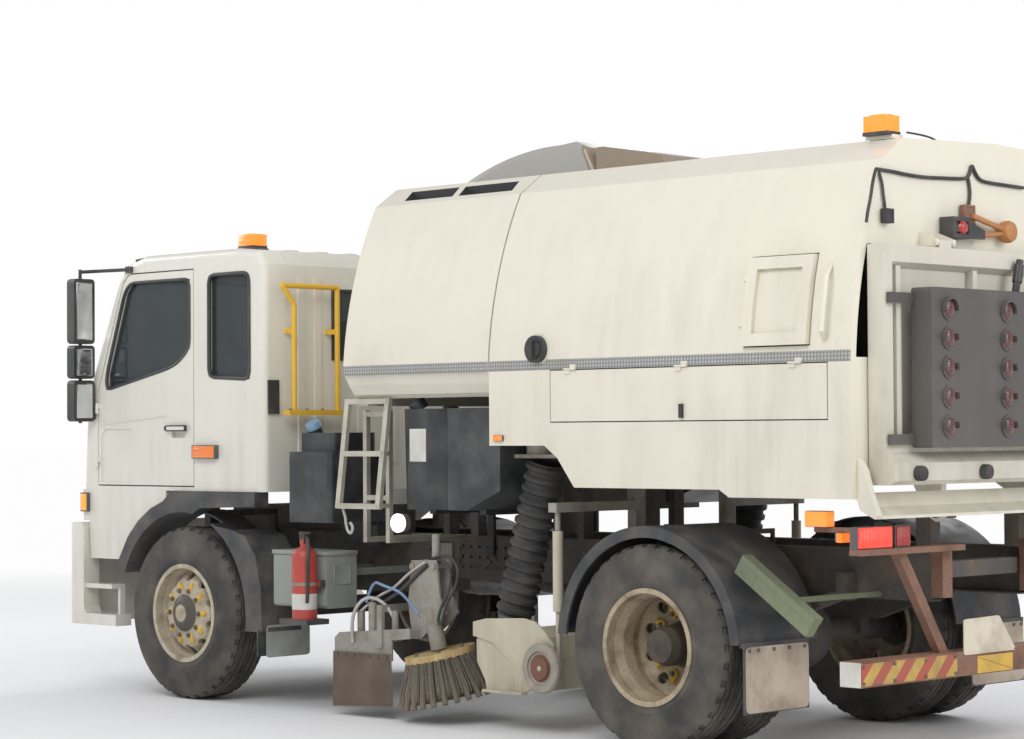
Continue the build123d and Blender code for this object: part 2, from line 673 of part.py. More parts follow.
with BuildPart() as fuel_tank:
    block((rear(2540), -1130, 590), (rear(3040), -rail_outer_y - seat_gap, 1000))
    fillet(fuel_tank.edges().filter_by(Axis.X), 90)
save(fuel_tank.part, "fuel_tank")

with BuildPart() as urea_tank:
    block((rear(2520), 640, 1090), (rear(2900), 1100, 1500))
    block((rear(2560), 700, 1500), (rear(2860), 1040, 1610))
    fillet(urea_tank.edges().filter_by(Axis.Z), 30)
    rod((rear(2790), 960, 1600), (rear(2790), 1000, 1665), 44)
    block((rear(2560), rail_outer_y + seat_gap, rail_top - 60), (rear(2860), 700, rail_top + 80 - 1))
    block((rear(2560), 600, rail_top + 60), (rear(2860), 760, 1095))
save(urea_tank.part, "urea_tank")

with BuildPart() as fire_extinguisher:
    rod((rear(2610), 1220, 545), (rear(2610), 1220, 900), 72)
    rod((rear(2610), 1220, 900), (rear(2610), 1220, 1000), 24)
    block((rear(2500), box_side_y + seat_gap, 515), (rear(2740), 1300, 545))
    block((rear(2530), box_side_y + seat_gap, 725), (rear(2690), box_side_y + 40, 765))
save(fire_extinguisher.part, "fire_extinguisher")

# Ladder: its outer frame leans out at the foot, and an inner one holds it on the rail
ladder_head = Vector(0, 1105, 1800)
ladder_foot = Vector(0, 1185, 1180)
with BuildPart() as ladder:
    rise = ladder_head - ladder_foot
    for x in (2018, 2352):
        middle = (ladder_head + ladder_foot) / 2 + Vector(rear(x), 0, 0)
        with Locations(Plane(origin=middle, x_dir=(1, 0, 0), z_dir=rise).location):
            Box(36, 26, rise.length)
    for z in (1195, 1490, 1785):
        y = ladder_foot.Y + rise.Y * (z - ladder_foot.Z) / rise.Z
        block((rear(2018), y - 17, z - 15), (rear(2352), y + 17, z + 15))
        for x in (2085, 2275):
            if z < 1700:
                block((rear(x), 1030, z - 12), (rear(x + 30), y, z + 12))
    for x in (2085, 2275):
        block((rear(x), 1010, 985), (rear(x + 30), 1040, 1735))
        block((rear(x), rail_outer_y + seat_gap, 985), (rear(x + 30), 1040, 1015))
    for z in (1225, 1700):
        block((rear(2085), 1012, z), (rear(2305), 1038, z + 28))
save(ladder.part, "ladder")

with BuildPart() as grab_rail:
    rail_x = front(-cab_back - 90)
    rail_line = ((640, 1740), (640, 2480), (1070, 2480), (980, 2370), (980, 1740))
    for (y_low, z_low), (y_high, z_high) in zip(rail_line, rail_line[1:]):
        rod((rail_x, y_low, z_low), (rail_x, y_high, z_high), 16)
    for y, z in rail_line[1:-1]:
        with Locations((rail_x, y, z)):
            Sphere(16)
    block((rail_x - 30, 600, 1715), (rail_x + 30, 1040, 1745))
    block((rail_x, 640, 2200), (front(-cab_back - seat_gap), 660, 2230))
    block((rail_x, 960, 2200), (front(-cab_back - seat_gap), 980, 2230))
save(grab_rail.part, "grab_rail")

# Water tanks beside the pod's engine
with BuildPart() as water_tanks:
    for side, _ in sides:
        outline = ((rear(1160), 1290), (rear(1420), 1180), (rear(1920), 1180), (rear(1990), 1740), (rear(1160), 1740))
        y_low = min(side * 560, side * 1080)
        y_high = max(side * 560, side * 1080)
        side_plate(outline, y_low, y_high)
        # A deep fold runs down the outer face, and the front corner is cut back.
        for fold in (((1560, 1085), (1730, 1085), (1650, 1005)), ((1880, 1085), (2000, 1085), (2000, 1000))):
            with BuildSketch(Plane.XY.offset(1170)) as valley:
                with BuildLine():
                    Polyline(*[(rear(x), side * y) for x, y in fold], close=True)
                make_face()
            extrude(valley.sketch, amount=600, mode=Mode.SUBTRACT)
        rod((rear(1860), side * 1000, 1735), (rear(1880), side * 1025, 1785), 50)
        for x in (1450, 1850):
            block((rear(x), side * (rail_outer_y + seat_gap), 900), (rear(x + 50), side * (rail_outer_y + 20), 1179))
            block((rear(x), side * (rail_outer_y + seat_gap), 1150), (rear(x + 50), side * 900, 1180))
save(water_tanks.part, "water_tanks")

# Sweeper body. The section is the same for the pod and the hopper above their feet.


def skin_y(z):
    """Half the body's width at a height on its curved side."""
    points = ((body_half, shoulder_z), (mid_y, mid_z), (eaves_y, eaves_z))
    (ay, az), (by, bz), (cy, cz) = points
    scale = 2 * (ay * (bz - cz) + by * (cz - az) + cy * (az - bz))
    squares = [y * y + z_ * z_ for y, z_ in points]
    centre_y = (squares[0] * (bz - cz) + squares[1] * (cz - az) + squares[2] * (az - bz)) / scale
    centre_z = (squares[0] * (cy - by) + squares[1] * (ay - cy) + squares[2] * (by - ay)) / scale
    return centre_y + sqrt(hypot(ay - centre_y, az - centre_z) ** 2 - (z - centre_z) ** 2)


def body_section(inset, low_line):
    """Half the body's section above a line of points from its middle, drawn inset from the outside."""
    with BuildLine() as line:
        foot = (body_half - inset, shoulder_z)
        middle = (mid_y - inset, mid_z)
        eaves = (eaves_y - inset, eaves_z - inset * 0.3)
        Polyline(*low_line, foot)
        ThreePointArc(foot, middle, eaves)
        Polyline(eaves, (crest_y - inset * 0.6, crest_z - inset), (0, roof_z - inset), low_line[0])
    make_face(line.edges())


def body_bar(x_low, x_high, inset, low_line, mode=Mode.ADD):
    """A length of the body, or of its inside when inset."""
    with BuildSketch(Plane.YZ.offset(x_low)) as section:
        body_section(inset, low_line)
        mirror(about=Plane.YZ)
    extrude(section.sketch, amount=x_high - x_low, mode=mode)


pod_rear = hopper_front + panel_gap
# The pod's bowl turns in under its side.
pod_bowl = ((0, 1800), (pod_floor_y, 1800), (pod_floor_y + 34, 1822), (pod_floor_y + 74, 1874))
pod_inside = ((0, 1780), (pod_floor_y - body_wall, 1780), (pod_floor_y, 1836), (pod_floor_y + 36, 1886))
cowl_half = 350
with BuildPart() as cowl:
    with BuildSketch(side_plane(cowl_half)) as outline:
        with BuildLine():
            nose = (rear(pod_front - 5), roof_z - 20)
            crown = (rear(1420), 3235)
            ThreePointArc(nose, (rear(1880), 3178), crown)
            Polyline(crown, (rear(1300), 3245), (rear(1200), 3205), (rear(pod_rear + 10), 3090), (rear(pod_rear + 10), roof_z - 20), nose)
        make_face()
    extrude(outline.sketch, amount=2 * cowl_half)
    rims = cowl.faces().sort_by(Axis.Y)[0].edges() + cowl.faces().sort_by(Axis.Y)[-1].edges()
    fillet(rims.filter_by(lambda edge: edge.center().Z > roof_z + 60), 38)

slot_low = crest_y + 40
slot_high = crest_y + 125
with BuildPart() as engine_pod:
    body_bar(rear(pod_rear), rear(pod_front), 0, pod_bowl)
    body_bar(rear(pod_rear + body_wall), rear(pod_front - body_wall), body_wall, pod_inside, mode=Mode.SUBTRACT)
    # Air slots in the eaves, with slanted ends.
    for side, _ in sides:
        for x_low, x_high in ((1230, 1650), (1700, 2090)):
            slot = ((rear(x_low), 2925), (rear(x_high), 2925), (rear(x_high + 45), 3025), (rear(x_low + 45), 3025))
            side_plate(slot, min(side * slot_low, side * slot_high), max(side * slot_low, side * slot_high), mode=Mode.SUBTRACT)
    block((rear(pod_rear), -pod_floor_y, pod_floor), (rear(pod_rear + 80), pod_floor_y, 1810))
    block((rear(pod_front - 80), -pod_floor_y, pod_floor), (rear(pod_front), pod_floor_y, 1810))
    add(cowl.part)
save(engine_pod.part, "engine_pod")


def hatch_knuckle(along, x_low, x_high):
    """One knuckle of the hatch's leaning hinge, and the leaf that joins it to its panel."""
    low = Vector(rear(hatch_hinge_x), *hatch_axis_low)
    high = Vector(rear(hatch_hinge_x), *hatch_axis_high)
    way = (high - low).normalized()
    start = low + way * along
    rod(tuple(start), tuple(start + way * hatch_knuckle_length), 7)
    with Locations(Plane(origin=start + way * (hatch_knuckle_length / 2), x_dir=(1, 0, 0), z_dir=way).location):
        with Locations(((x_low + x_high) / 2 - rear(hatch_hinge_x), -6, 0)):
            Box(x_high - x_low, 12, hatch_knuckle_length)


# Hopper: hollow body with skirts, open at the back, with a locker in each side
skirt = (
    (rear(-hopper_rear), skirt_bottom), (rear(-538), skirt_bottom), (rear(-477), skirt_mid), (rear(500), skirt_mid),
    (rear(620), 1471), (rear(714), skirt_front), (rear(hopper_front), skirt_front), (rear(hopper_front), roof_z + 10),
    (rear(-hopper_rear), roof_z + 10),
)
hopper_foot = ((0, skirt_bottom), (body_half, skirt_bottom))
dust_foot = ((0, shoulder_z), (dust_half, shoulder_z))
with BuildPart() as header:
    body_bar(rear(-hopper_rear), rear(-hopper_rear + 40), body_wall / 2, hopper_foot)
    block((rear(-hopper_rear - 5), -body_half, skirt_bottom - 5), (rear(-hopper_rear + 45), body_half, rear_door_top + 5),
          mode=Mode.SUBTRACT)

with BuildPart() as hopper_shell:
    body_bar(rear(-hopper_rear), rear(hopper_front), 0, hopper_foot)
    side_plate(skirt, -body_half - 5, body_half + 5, mode=Mode.INTERSECT)
    # Recess between the skirts, under the floor.
    under = ((rear(-hopper_rear - 5), skirt_bottom - 5), (rear(-hopper_rear - 5), 1380), (rear(560), 1380), (rear(760), inlet_top),
             (rear(hopper_front + 5), inlet_top), (rear(hopper_front + 5), skirt_bottom - 5))
    side_plate(under, -body_half + body_wall, body_half - body_wall, mode=Mode.SUBTRACT)
    # The dust space: narrow between the lockers, full width above them.
    space = ((rear(-hopper_rear - 5), 1430), (rear(520), 1430), (rear(740), 1630), (rear(hopper_front - body_wall), 1630),
             (rear(hopper_front - body_wall), shoulder_z + 40), (rear(-hopper_rear - 5), shoulder_z + 40))
    side_plate(space, -dust_half, dust_half, mode=Mode.SUBTRACT)
    body_bar(rear(-hopper_rear - 5), rear(hopper_front - body_wall), body_wall, dust_foot, mode=Mode.SUBTRACT)
    for side, _ in sides:
        block((rear(-locker_rear), side * (body_half - locker_depth), locker_bottom),
              (rear(locker_front), side * (body_half + 5), locker_top), mode=Mode.SUBTRACT)
        for x in locker_hinge_x:
            rod((rear(x), side * locker_hinge_y, locker_top), (rear(x + 40), side * locker_hinge_y, locker_top), 6)
            block((rear(x), side * body_half, locker_top), (rear(x + 40), side * locker_hinge_y, locker_top + 24))
    for side, _ in sides:
        rod((rear(hose_top_x), side * hose_y, inlet_top - 5), (rear(hose_top_x), side * hose_y, 1635), hose_bore, mode=Mode.SUBTRACT)
    # Inspection hatch opening, on the left side only, with its hinge knuckles.
    block((rear(-hatch_rear), dust_half, hatch_bottom), (rear(-hatch_front), body_half + 20, hatch_top), mode=Mode.SUBTRACT)
    for along in hatch_knuckles:
        hatch_knuckle(along, rear(hatch_hinge_x), rear(-hatch_front + 30))
    # Duct on the roof behind the pod's cowl.
    duct = ((rear(560), roof_z - 20), (rear(640), 3120), (rear(hopper_front - 60), 3195), (rear(hopper_front - 5), 3195),
            (rear(hopper_front - 5), roof_z - 20))
    side_plate(duct, -cowl_half, cowl_half)
    # The filler neck's flat boss, and a grab handle behind the hatch, bent from one tube.
    rod((rear(cap_x), skin_y(cap_z) - 25, cap_z), (rear(cap_x), skin_y(cap_z) + cap_boss, cap_z), cap_radius + 12)
    handle_low, handle_high = 2030, 2400
    for z, z_bend in ((handle_low, handle_low + 45), (handle_high, handle_high - 60)):
        rod((rear(handle_x + 25), skin_y(z) - 8, z), (rear(handle_x), skin_y(z_bend) + 52, z_bend), 11)
    rod((rear(handle_x), skin_y(handle_low + 45) + 52, handle_low + 40),
        (rear(handle_x), skin_y(handle_high - 60) + 52, handle_high - 55), 11)
    # Cheeks beside the foot of the rear door, and the chute lip between them.
    cheek = ((rear(-hopper_rear + 5), 1480), (rear(-1330), 1420), (rear(-1365), 1300), (rear(-1405), 1205), (rear(-1390), 1188),
             (rear(-1305), 1228), (rear(-hopper_rear + 5), 1290))
    for side, _ in sides:
        y_low = side * (door_half + 45)
        y_high = side * (door_half + 85)
        side_plate(cheek, min(y_low, y_high), max(y_low, y_high))
    lip = ((rear(-hopper_rear + 5), 1290), (rear(-1305), 1228), (rear(-1390), 1188), (rear(-1392), 1202), (rear(-1308), 1242),
           (rear(-hopper_rear + 5), 1310))
    side_plate(lip, -door_half - 50, door_half + 50)
    # Tipping lugs under the floor and hinge ears over the rear door.
    for side, _ in sides:
        lug = ((rear(-tip_x - 36), 1385), (rear(-tip_x - 38), tip_z - 20), (rear(-tip_x), tip_z - 45), (rear(-tip_x + 45), tip_z - 20),
               (rear(-tip_x + 160), 1385))
        y_low = min(side * lug_y, side * (lug_y + lug_width))
        side_plate(lug, y_low, y_low + lug_width)
        rod((rear(-tip_x), side * (lug_y - 5), tip_z), (rear(-tip_x), side * (lug_y + lug_width + 5), tip_z), tip_radius + pin_gap,
            mode=Mode.SUBTRACT)
    for side, _ in sides:
        for y in (500, 640):
            ear = ((rear(-hopper_rear + 10), rear_hinge_z - 18), (rear(-rear_hinge_x), rear_hinge_z - 20),
                   (rear(-rear_hinge_x - 14), rear_hinge_z - 15), (rear(-rear_hinge_x - 20), rear_hinge_z),
                   (rear(-rear_hinge_x - 14), rear_hinge_z + 15), (rear(-rear_hinge_x), rear_hinge_z + 21),
                   (rear(-hopper_rear + 10), rear_hinge_z + 60))
            side_plate(ear, side * y - 9, side * y + 9)
            rod((rear(-rear_hinge_x), side * y - 12, rear_hinge_z), (rear(-rear_hinge_x), side * y + 12, rear_hinge_z), 12 + pin_gap,
                mode=Mode.SUBTRACT)
    add(header.part)
save(hopper_shell.part, "hopper_shell")

# Stands on the rails: cab mounts, pod legs and the tail brackets with the tipping pins
with BuildPart() as frame_stands:
    for side, _ in sides:
        for x in (-690, 640):
            block((front(x), side * 345, rail_top + seat_gap), (front(x + 60), side * 425, cab_floor_z - seat_gap))
        for x in (1160, 2235):
            block((rear(x), side * 345, rail_top + seat_gap), (rear(x + 50), side * 425, pod_floor - seat_gap))
        block((rear(-rail_rear), side * 345, rail_top + seat_gap), (rear(-rail_rear + 90), side * 425, tip_z + 25))
        block((rear(-tip_x - 28), side * 345, tip_z - 28), (rear(-rail_rear + 90), side * 425, tip_z + 28))
        rod((rear(-tip_x), side * 400, tip_z), (rear(-tip_x), side * (lug_y + lug_width + 10), tip_z), tip_radius)
save(frame_stands.part, "frame_stands")

# Locker doors, hinged along their top edges
for side, word in sides:
    with BuildPart() as locker_door:
        for x in locker_hinge_x:
            rod((rear(x + 40 + seat_gap), side * locker_hinge_y, locker_top), (rear(x + 80), side * locker_hinge_y, locker_top), 6)
            block((rear(x + 40 + seat_gap), side * body_half, locker_top - 24), (rear(x + 80), side * locker_hinge_y, locker_top))
        block((rear(-locker_rear + 6), side * (body_half - locker_door_thickness), locker_bottom + 6),
              (rear(locker_front - 6), side * body_half, locker_top - 6))
    save(locker_door.part, "locker_door_" + word)

# Rear door with its chute lip, and the lamp board on it
rear_door_side = (
    (rear(-hopper_rear - 6), rear_door_top), (rear(-hopper_rear - 100), rear_door_top), (rear(-hopper_rear - 100), 1500),
    (rear(-hopper_rear - 160), 1450), (rear(-hopper_rear - 160), rear_door_bottom + 20), (rear(-hopper_rear - 120), rear_door_bottom),
    (rear(-hopper_rear - 6), rear_door_bottom),
)
panel_half = door_half - 70
with BuildPart() as rear_door:
    side_plate(rear_door_side, -door_half, door_half)
    # The panel lies back inside a raised rim, over a sloped lower part.
    panel = ((rear(-hopper_rear - 105), 1560), (rear(-hopper_rear - 50), 1590), (rear(-hopper_rear - 50), rear_door_top - 110),
             (rear(-hopper_rear - 105), rear_door_top - 80))
    side_plate(panel, -panel_half, panel_half, mode=Mode.SUBTRACT)
    for side, _ in sides:
        rod((rear(-rear_hinge_x), side * 486, rear_hinge_z), (rear(-rear_hinge_x), side * 654, rear_hinge_z), 12)
        block((rear(-rear_hinge_x - 12), side * 520, rear_door_top - 10), (rear(-rear_hinge_x + 12), side * 620, rear_hinge_z))
        for y_low, y_high in ((930, 965), (300, 335)):
            block((rear(-hopper_rear - 52), side * y_low, 1580), (rear(-hopper_rear - 92), side * y_high, rear_door_top - 100))
        # Rubber buffers on the lower part.
        for y in (360, 900):
            rod((rear(-hopper_rear - 150), side * y, 1400), (rear(-hopper_rear - 190), side * y, 1400), 34)
save(rear_door.part, "rear_door")

# Lamp board: a wide box of hooded lamps on arms from the door's rim
board_face = board_back - 30
lamp_columns = 4
lamp_rows = 5
lamp_pitch_y = 490
lamp_pitch_z = 140
lamp_radius = 54
with BuildPart() as lamp_board:
    block((rear(-board_face), -board_half, board_bottom), (rear(-board_front), board_half, board_top))
    fillet(lamp_board.edges().filter_by(Axis.X), 18)
    board_plane = Plane(origin=(rear(-board_face), 0, (board_bottom + board_top) / 2), x_dir=(0, 1, 0), z_dir=(-1, 0, 0))
    with BuildSketch(board_plane) as bezels:
        with GridLocations(lamp_pitch_y, lamp_pitch_z, lamp_columns, lamp_rows):
            Circle(lamp_radius)
    extrude(bezels.sketch, amount=8)
    # Each lamp's hood is the upper half of a ring. The sketch's y points down the board.
    with BuildSketch(board_plane) as hoods:
        with GridLocations(lamp_pitch_y, lamp_pitch_z, lamp_columns, lamp_rows):
            Circle(lamp_radius)
            Circle(lamp_radius - 7, mode=Mode.SUBTRACT)
            with Locations((0, lamp_radius + 10)):
                Rectangle(3 * lamp_radius, 2 * lamp_radius, mode=Mode.SUBTRACT)
    extrude(hoods.sketch, amount=board_back - board_face)
    for z in (1560, 2230):
        block((rear(-board_front - 20), board_half - 10, z - 25), (rear(-board_front - 10), door_half - 20, z + 25))
        block((rear(-hopper_rear - 100 - seat_gap), door_half - 60, z - 25), (rear(-board_front - 10), door_half - 20, z + 25))
save(lamp_board.part, "lamp_board")

# Rear mudguards over the twin wheels, each with a flap, and the tail bumper
with BuildPart() as rear_mudguards:
    for side, _ in sides:
        y_low = min(side * 600, side * (body_half + 15))
        y_high = max(side * 600, side * (body_half + 15))
        lip_y = side * body_half
        arch(rear_axle_x, 600, 10, 4, 176, y_low, y_high)
        arch(rear_axle_x, 552, 54, 4, 176, min(lip_y, lip_y + side * 15), max(lip_y, lip_y + side * 15))
        block((rear(-632), side * 700, 225), (rear(-620), side * 1200, 555))
        block((rear(-632), side * 700, 548), (rear(-596), side * 1200, 572))
        for x in (-200, 180):
            block((rear(x), side * (rail_outer_y + seat_gap), 1075), (rear(x + 20), side * 700, 1100))
            block((rear(x), side * (rail_outer_y + seat_gap), 900), (rear(x + 20), side * (rail_outer_y + 15), 1100))
save(rear_mudguards.part, "rear_mudguards")

with BuildPart() as rear_bumper:
    block((rear(-1330), -body_half, 400), (rear(-1210), body_half, 520))
    for side, _ in sides:
        strut = ((860, 1030), (790, 1030), (440, 520), (510, 520))
        with BuildSketch(Plane.YZ.offset(rear(-1290))) as outline:
            with BuildLine():
                Polyline(*[(side * y, z) for y, z in strut], close=True)
            make_face()
        extrude(outline.sketch, amount=45)
        block((rear(-1330), side * 1175, 1015), (rear(-1250), side * 345, 1044))
        block((rear(-1250), side * 345, rail_bottom + 20), (rear(-rail_rear - seat_gap), side * 425, 1044))
        block((rear(-1262 + seat_gap), side * 1170, 1040), (rear(-1250), side * 760, 1145))
        block((rear(-1250), side * 1100, 1120), (rear(-1000), side * 1119.7, 1145))
save(rear_bumper.part, "rear_bumper")

# Suction hoses, ribbed bellows from the nozzle's spout up to the hopper's inlet
hose_ribs = 14
hose_valley = 92
hose_rise = hose_top_z - hose_low_z
hose_droop = hose_valley * (hose_low_x - hose_top_x) / sqrt(hose_rise ** 2 + (hose_low_x - hose_top_x) ** 2)
for side, word in sides:
    low = Vector(rear(hose_low_x), side * hose_y, hose_low_z)
    high = Vector(rear(hose_top_x), side * hose_y, hose_top_z)
    along = high - low
    across = Vector(along.Z, 0, -along.X).normalized()
    pitch = along.length / hose_ribs
    with BuildPart() as suction_hose:
        with BuildSketch(Plane(origin=low, x_dir=across, z_dir=(0, -1, 0))):
            with BuildLine():
                outline = [(hose_bore, 0), (hose_valley, 0)]
                for rib in range(hose_ribs):
                    base = rib * pitch
                    outline += [(hose_valley, base + pitch * 0.2), (hose_radius, base + pitch * 0.4),
                                (hose_radius, base + pitch * 0.7), (hose_valley, base + pitch * 0.9)]
                outline += [(hose_valley, along.length), (hose_bore, along.length)]
                Polyline(*outline, close=True)
            make_face()
        revolve(axis=Axis(origin=low, direction=along))
    save(suction_hose.part, "suction_hose_" + word)

# Suction nozzles, each with its spout, lift barrel and the stub for its jockey wheel
nozzle_bottom = nozzle_drop + 8
nozzle_front = 1310
for side, word in sides:
    inner_y = 430
    outer_y = 1045
    with BuildPart() as nozzle:
        shoe = ((880, nozzle_bottom), (nozzle_front, nozzle_bottom), (nozzle_front + 8, 264), (nozzle_front + 70, 360),
                (nozzle_front + 74, 480), (nozzle_front + 24, 520), (1020, 560), (920, 510), (880, 400))
        side_plate([(rear(x), z) for x, z in shoe], min(side * inner_y, side * outer_y), max(side * inner_y, side * outer_y))
        spout_top = hose_low_z - hose_droop - seat_gap
        rod((rear(hose_low_x), side * hose_y, 480), (rear(hose_low_x), side * hose_y, spout_top), hose_valley)
        # Dust goes up through the open shoe and its spout.
        mouth = ((895, nozzle_bottom - 5), (nozzle_front - 15, nozzle_bottom - 5), (nozzle_front - 8, 268), (nozzle_front + 54, 364),
                 (nozzle_front + 58, 472), (nozzle_front + 16, 504), (1024, 543), (930, 496), (895, 396))
        side_plate([(rear(x), z) for x, z in mouth], min(side * (inner_y + 15), side * (outer_y - 15)),
                   max(side * (inner_y + 15), side * (outer_y - 15)), mode=Mode.SUBTRACT)
        rod((rear(hose_low_x), side * hose_y, 460), (rear(hose_low_x), side * hose_y, spout_top + 5), hose_bore, mode=Mode.SUBTRACT)
        # The cheek carries the jockey wheel at its tail and runs forward over the brush.
        cheek = ((1400, 500), (1400, 576), (1300, 598), (1016, 612), (930, 598), (860, 550), (795, 480), (780, 330), (900, 290),
                 (1000, 215), (1290, 205), (1300, 238), (1140, 262), (1131, 385), (1250, 470))
        side_plate([(rear(x), z) for x, z in cheek], min(side * outer_y, side * (outer_y + 11)), max(side * outer_y, side * (outer_y + 11)))
        block((rear(1000), side * outer_y, 205), (rear(1300), side * (outer_y + 45), 219))
        block((rear(ram_x - 32), side * (ram_y - 32), 300), (rear(900), side * (ram_y + 32), 340))
        rod((rear(ram_x), side * ram_y, 320), (rear(ram_x), side * ram_y, 665), 14)
        rod((rear(ram_x), side * ram_y, ram_low), (rear(ram_x), side * ram_y, 1080), 28)
        rod((rear(ram_x), side * ram_y, ram_low + 25), (rear(ram_x), side * ram_y, 1081), 16, mode=Mode.SUBTRACT)
        rod((rear(jockey_x), side * (outer_y - 10), jockey_z), (rear(jockey_x), side * (jockey_y + 24), jockey_z), 14)
    save(nozzle.part, "nozzle_" + word)
    with BuildPart() as jockey_wheel:
        centre = (rear(jockey_x), side * jockey_y, jockey_z)
        ring(((14.5, -22), (60, -22), (60, -12), (90, -12), (90, -22), (jockey_radius - 8, -22), (jockey_radius, -12),
              (jockey_radius, 12), (jockey_radius - 8, 22), (90, 22), (90, 12), (60, 12), (60, 22), (14.5, 22)), centre, side)
    save(jockey_wheel.part, "jockey_wheel_" + word)

# Sweep frame on the rails: ram rods, hose inlets and the brush arms' posts
post_low = 560
post_top = 800
inlet_plate_z = hose_top_z + hose_droop + seat_gap
with BuildPart() as sweep_frame:
    for side, _ in sides:
        block((rear(ram_x - 30), side * 345, rail_top + seat_gap), (rear(ram_x + 30), side * rail_outer_y, inlet_plate_z + 20))
        block((rear(ram_x - 30), side * 345, 1180), (rear(ram_x + 30), side * (ram_y + 40), 1230))
        rod((rear(ram_x), side * ram_y, 700), (rear(ram_x), side * ram_y, 1200), 15)
        block((rear(ram_x - 30), side * 345, inlet_plate_z), (rear(hose_top_x + 130), side * (hose_y + 115), inlet_plate_z + 20))
        rod((rear(hose_top_x), side * hose_y, inlet_plate_z + 10), (rear(hose_top_x), side * hose_y, inlet_top - seat_gap), hose_radius)
        rod((rear(hose_top_x), side * hose_y, inlet_plate_z - 5), (rear(hose_top_x), side * hose_y, inlet_top + 5), hose_bore,
            mode=Mode.SUBTRACT)
        block((rear(swing_x - 60), side * (rail_outer_y + seat_gap), post_top - 30), (rear(swing_x + 60), side * (swing_y + 40), post_top))
        block((rear(swing_x - 60), side * (rail_outer_y + seat_gap), post_top - 30), (rear(swing_x + 60), side * (rail_outer_y + 16), 960))
        rod((rear(swing_x), side * swing_y, post_low), (rear(swing_x), side * swing_y, post_top - 10), 22)
save(sweep_frame.part, "sweep_frame")

# Channel brush arms: sleeve on the post, arm out to the motor, and the stone curtain
lean = sin(radians(brush_tilt)) / sqrt(2)
arm_bottom = 600
arm_top = 650
for side, word in sides:
    up = Vector(lean, side * lean, cos(radians(brush_tilt)))
    hub = Vector(rear(brush_x), side * brush_y, brush_high)
    with BuildPart() as brush_arm:
        rod((rear(swing_x), side * swing_y, arm_bottom), (rear(swing_x), side * swing_y, post_top - 30 - seat_gap), 40)
        arm = ((swing_x - 20, swing_y - 25), (swing_x - 20, swing_y + 35), (brush_x + 70, brush_y + 30), (brush_x + 10, brush_y - 10))
        with BuildSketch(Plane.XY.offset(arm_bottom)) as outline:
            with BuildLine():
                Polyline(*[(rear(x), side * y) for x, y in arm], close=True)
            make_face()
        extrude(outline.sketch, amount=arm_top - arm_bottom)
        rod(tuple(hub + up * 6), tuple(hub + up * 150), 46)
        rod(tuple(hub + up * 140), tuple(hub + up * 235), 34)
        rod(tuple(hub + up * 5), tuple(hub + up * 70), 20 + pin_gap, mode=Mode.SUBTRACT)
        # Two bracket plates over the motor, with a lifting cylinder between them
        knee = ((1945, 660), (1918, 893), (1716, 900), (1690, 700), (1640, 610), (1700, 560), (1850, 455), (1905, 455), (1930, 560))
        for y in (925, 1015):
            side_plate([(rear(x), z) for x, z in knee], min(side * y, side * (y + 14)), max(side * y, side * (y + 14)))
        rod((rear(1905), side * 915, 860), (rear(1905), side * 1040, 860), 18)
        rod((rear(1735), side * 915, 865), (rear(1735), side * 1040, 865), 18)
        rod((rear(1770), side * 977, 640), (rear(1770), side * 977, 1040), 24)
        rod((rear(1735), side * 977, 865), (rear(1775), side * 977, 865), 16)
        # The stone curtain hangs from a carrier that runs forward from the bracket.
        block((rear(1845), side * 925, 462), (rear(1890), side * (curtain_y - 12), 505))
        carrier = ((1990, 330), (2470, 330), (2470, 440), (2430, 472), (1840, 520), (1840, 462), (1990, 448))
        side_plate([(rear(x), z) for x, z in carrier], min(side * (curtain_y - 24), side * (curtain_y - 12)),
                   max(side * (curtain_y - 24), side * (curtain_y - 12)))
        block((rear(1990), side * (curtain_y - 95), 440), (rear(2440), side * (curtain_y - 12), 456))
        for x, radius, top in ((2287, 22, 600), (2185, 27, 650), (2002, 19, 610)):
            rod((rear(x), side * (curtain_y - 52), 440), (rear(x), side * (curtain_y - 52), top), radius)
        block((rear(curtain_x - 20), side * 640, arm_bottom), (rear(curtain_x + 20), side * curtain_y, arm_bottom + 40))
        block((rear(curtain_x - 20), side * (curtain_y - 24), 400), (rear(curtain_x + 20), side * curtain_y, arm_bottom + 40))
        side_plate(((rear(1978), 78), (rear(2474), 50), (rear(2464), 366), (rear(1994), 372)),
                   min(side * curtain_y, side * (curtain_y - 12)), max(side * curtain_y, side * (curtain_y - 12)))
        block((rear(2460), side * 860, 60), (rear(2472), side * curtain_y, 366))
        rod((rear(swing_x), side * swing_y, 590), (rear(swing_x), side * swing_y, post_top), 22 + pin_gap, mode=Mode.SUBTRACT)
    save(brush_arm.part, "brush_arm_" + word)
    with BuildPart() as channel_brush:
        rod(tuple(hub - up * 20), tuple(hub + up * 66), 20)
        with Locations(Plane(origin=hub - up * 22, z_dir=up).location):
            Cylinder(disc_radius, 36)
        with Locations(Plane(origin=hub - up * 150, z_dir=up).location):
            Cone(bristle_radius - 78, disc_radius - 60, 226)
        radial = Vector(1, 0, 0) - up * up.X
        for index in range(tuft_count):
            out = radial.normalized().rotate(Axis(origin=(0, 0, 0), direction=up), (index + 0.5) * 360 / tuft_count)
            rod(tuple(hub - up * 26 + out * (disc_radius - 22)), tuple(hub - up * 278 + out * (bristle_radius - 20)), 17)
    save(channel_brush.part, "channel_brush_" + word)

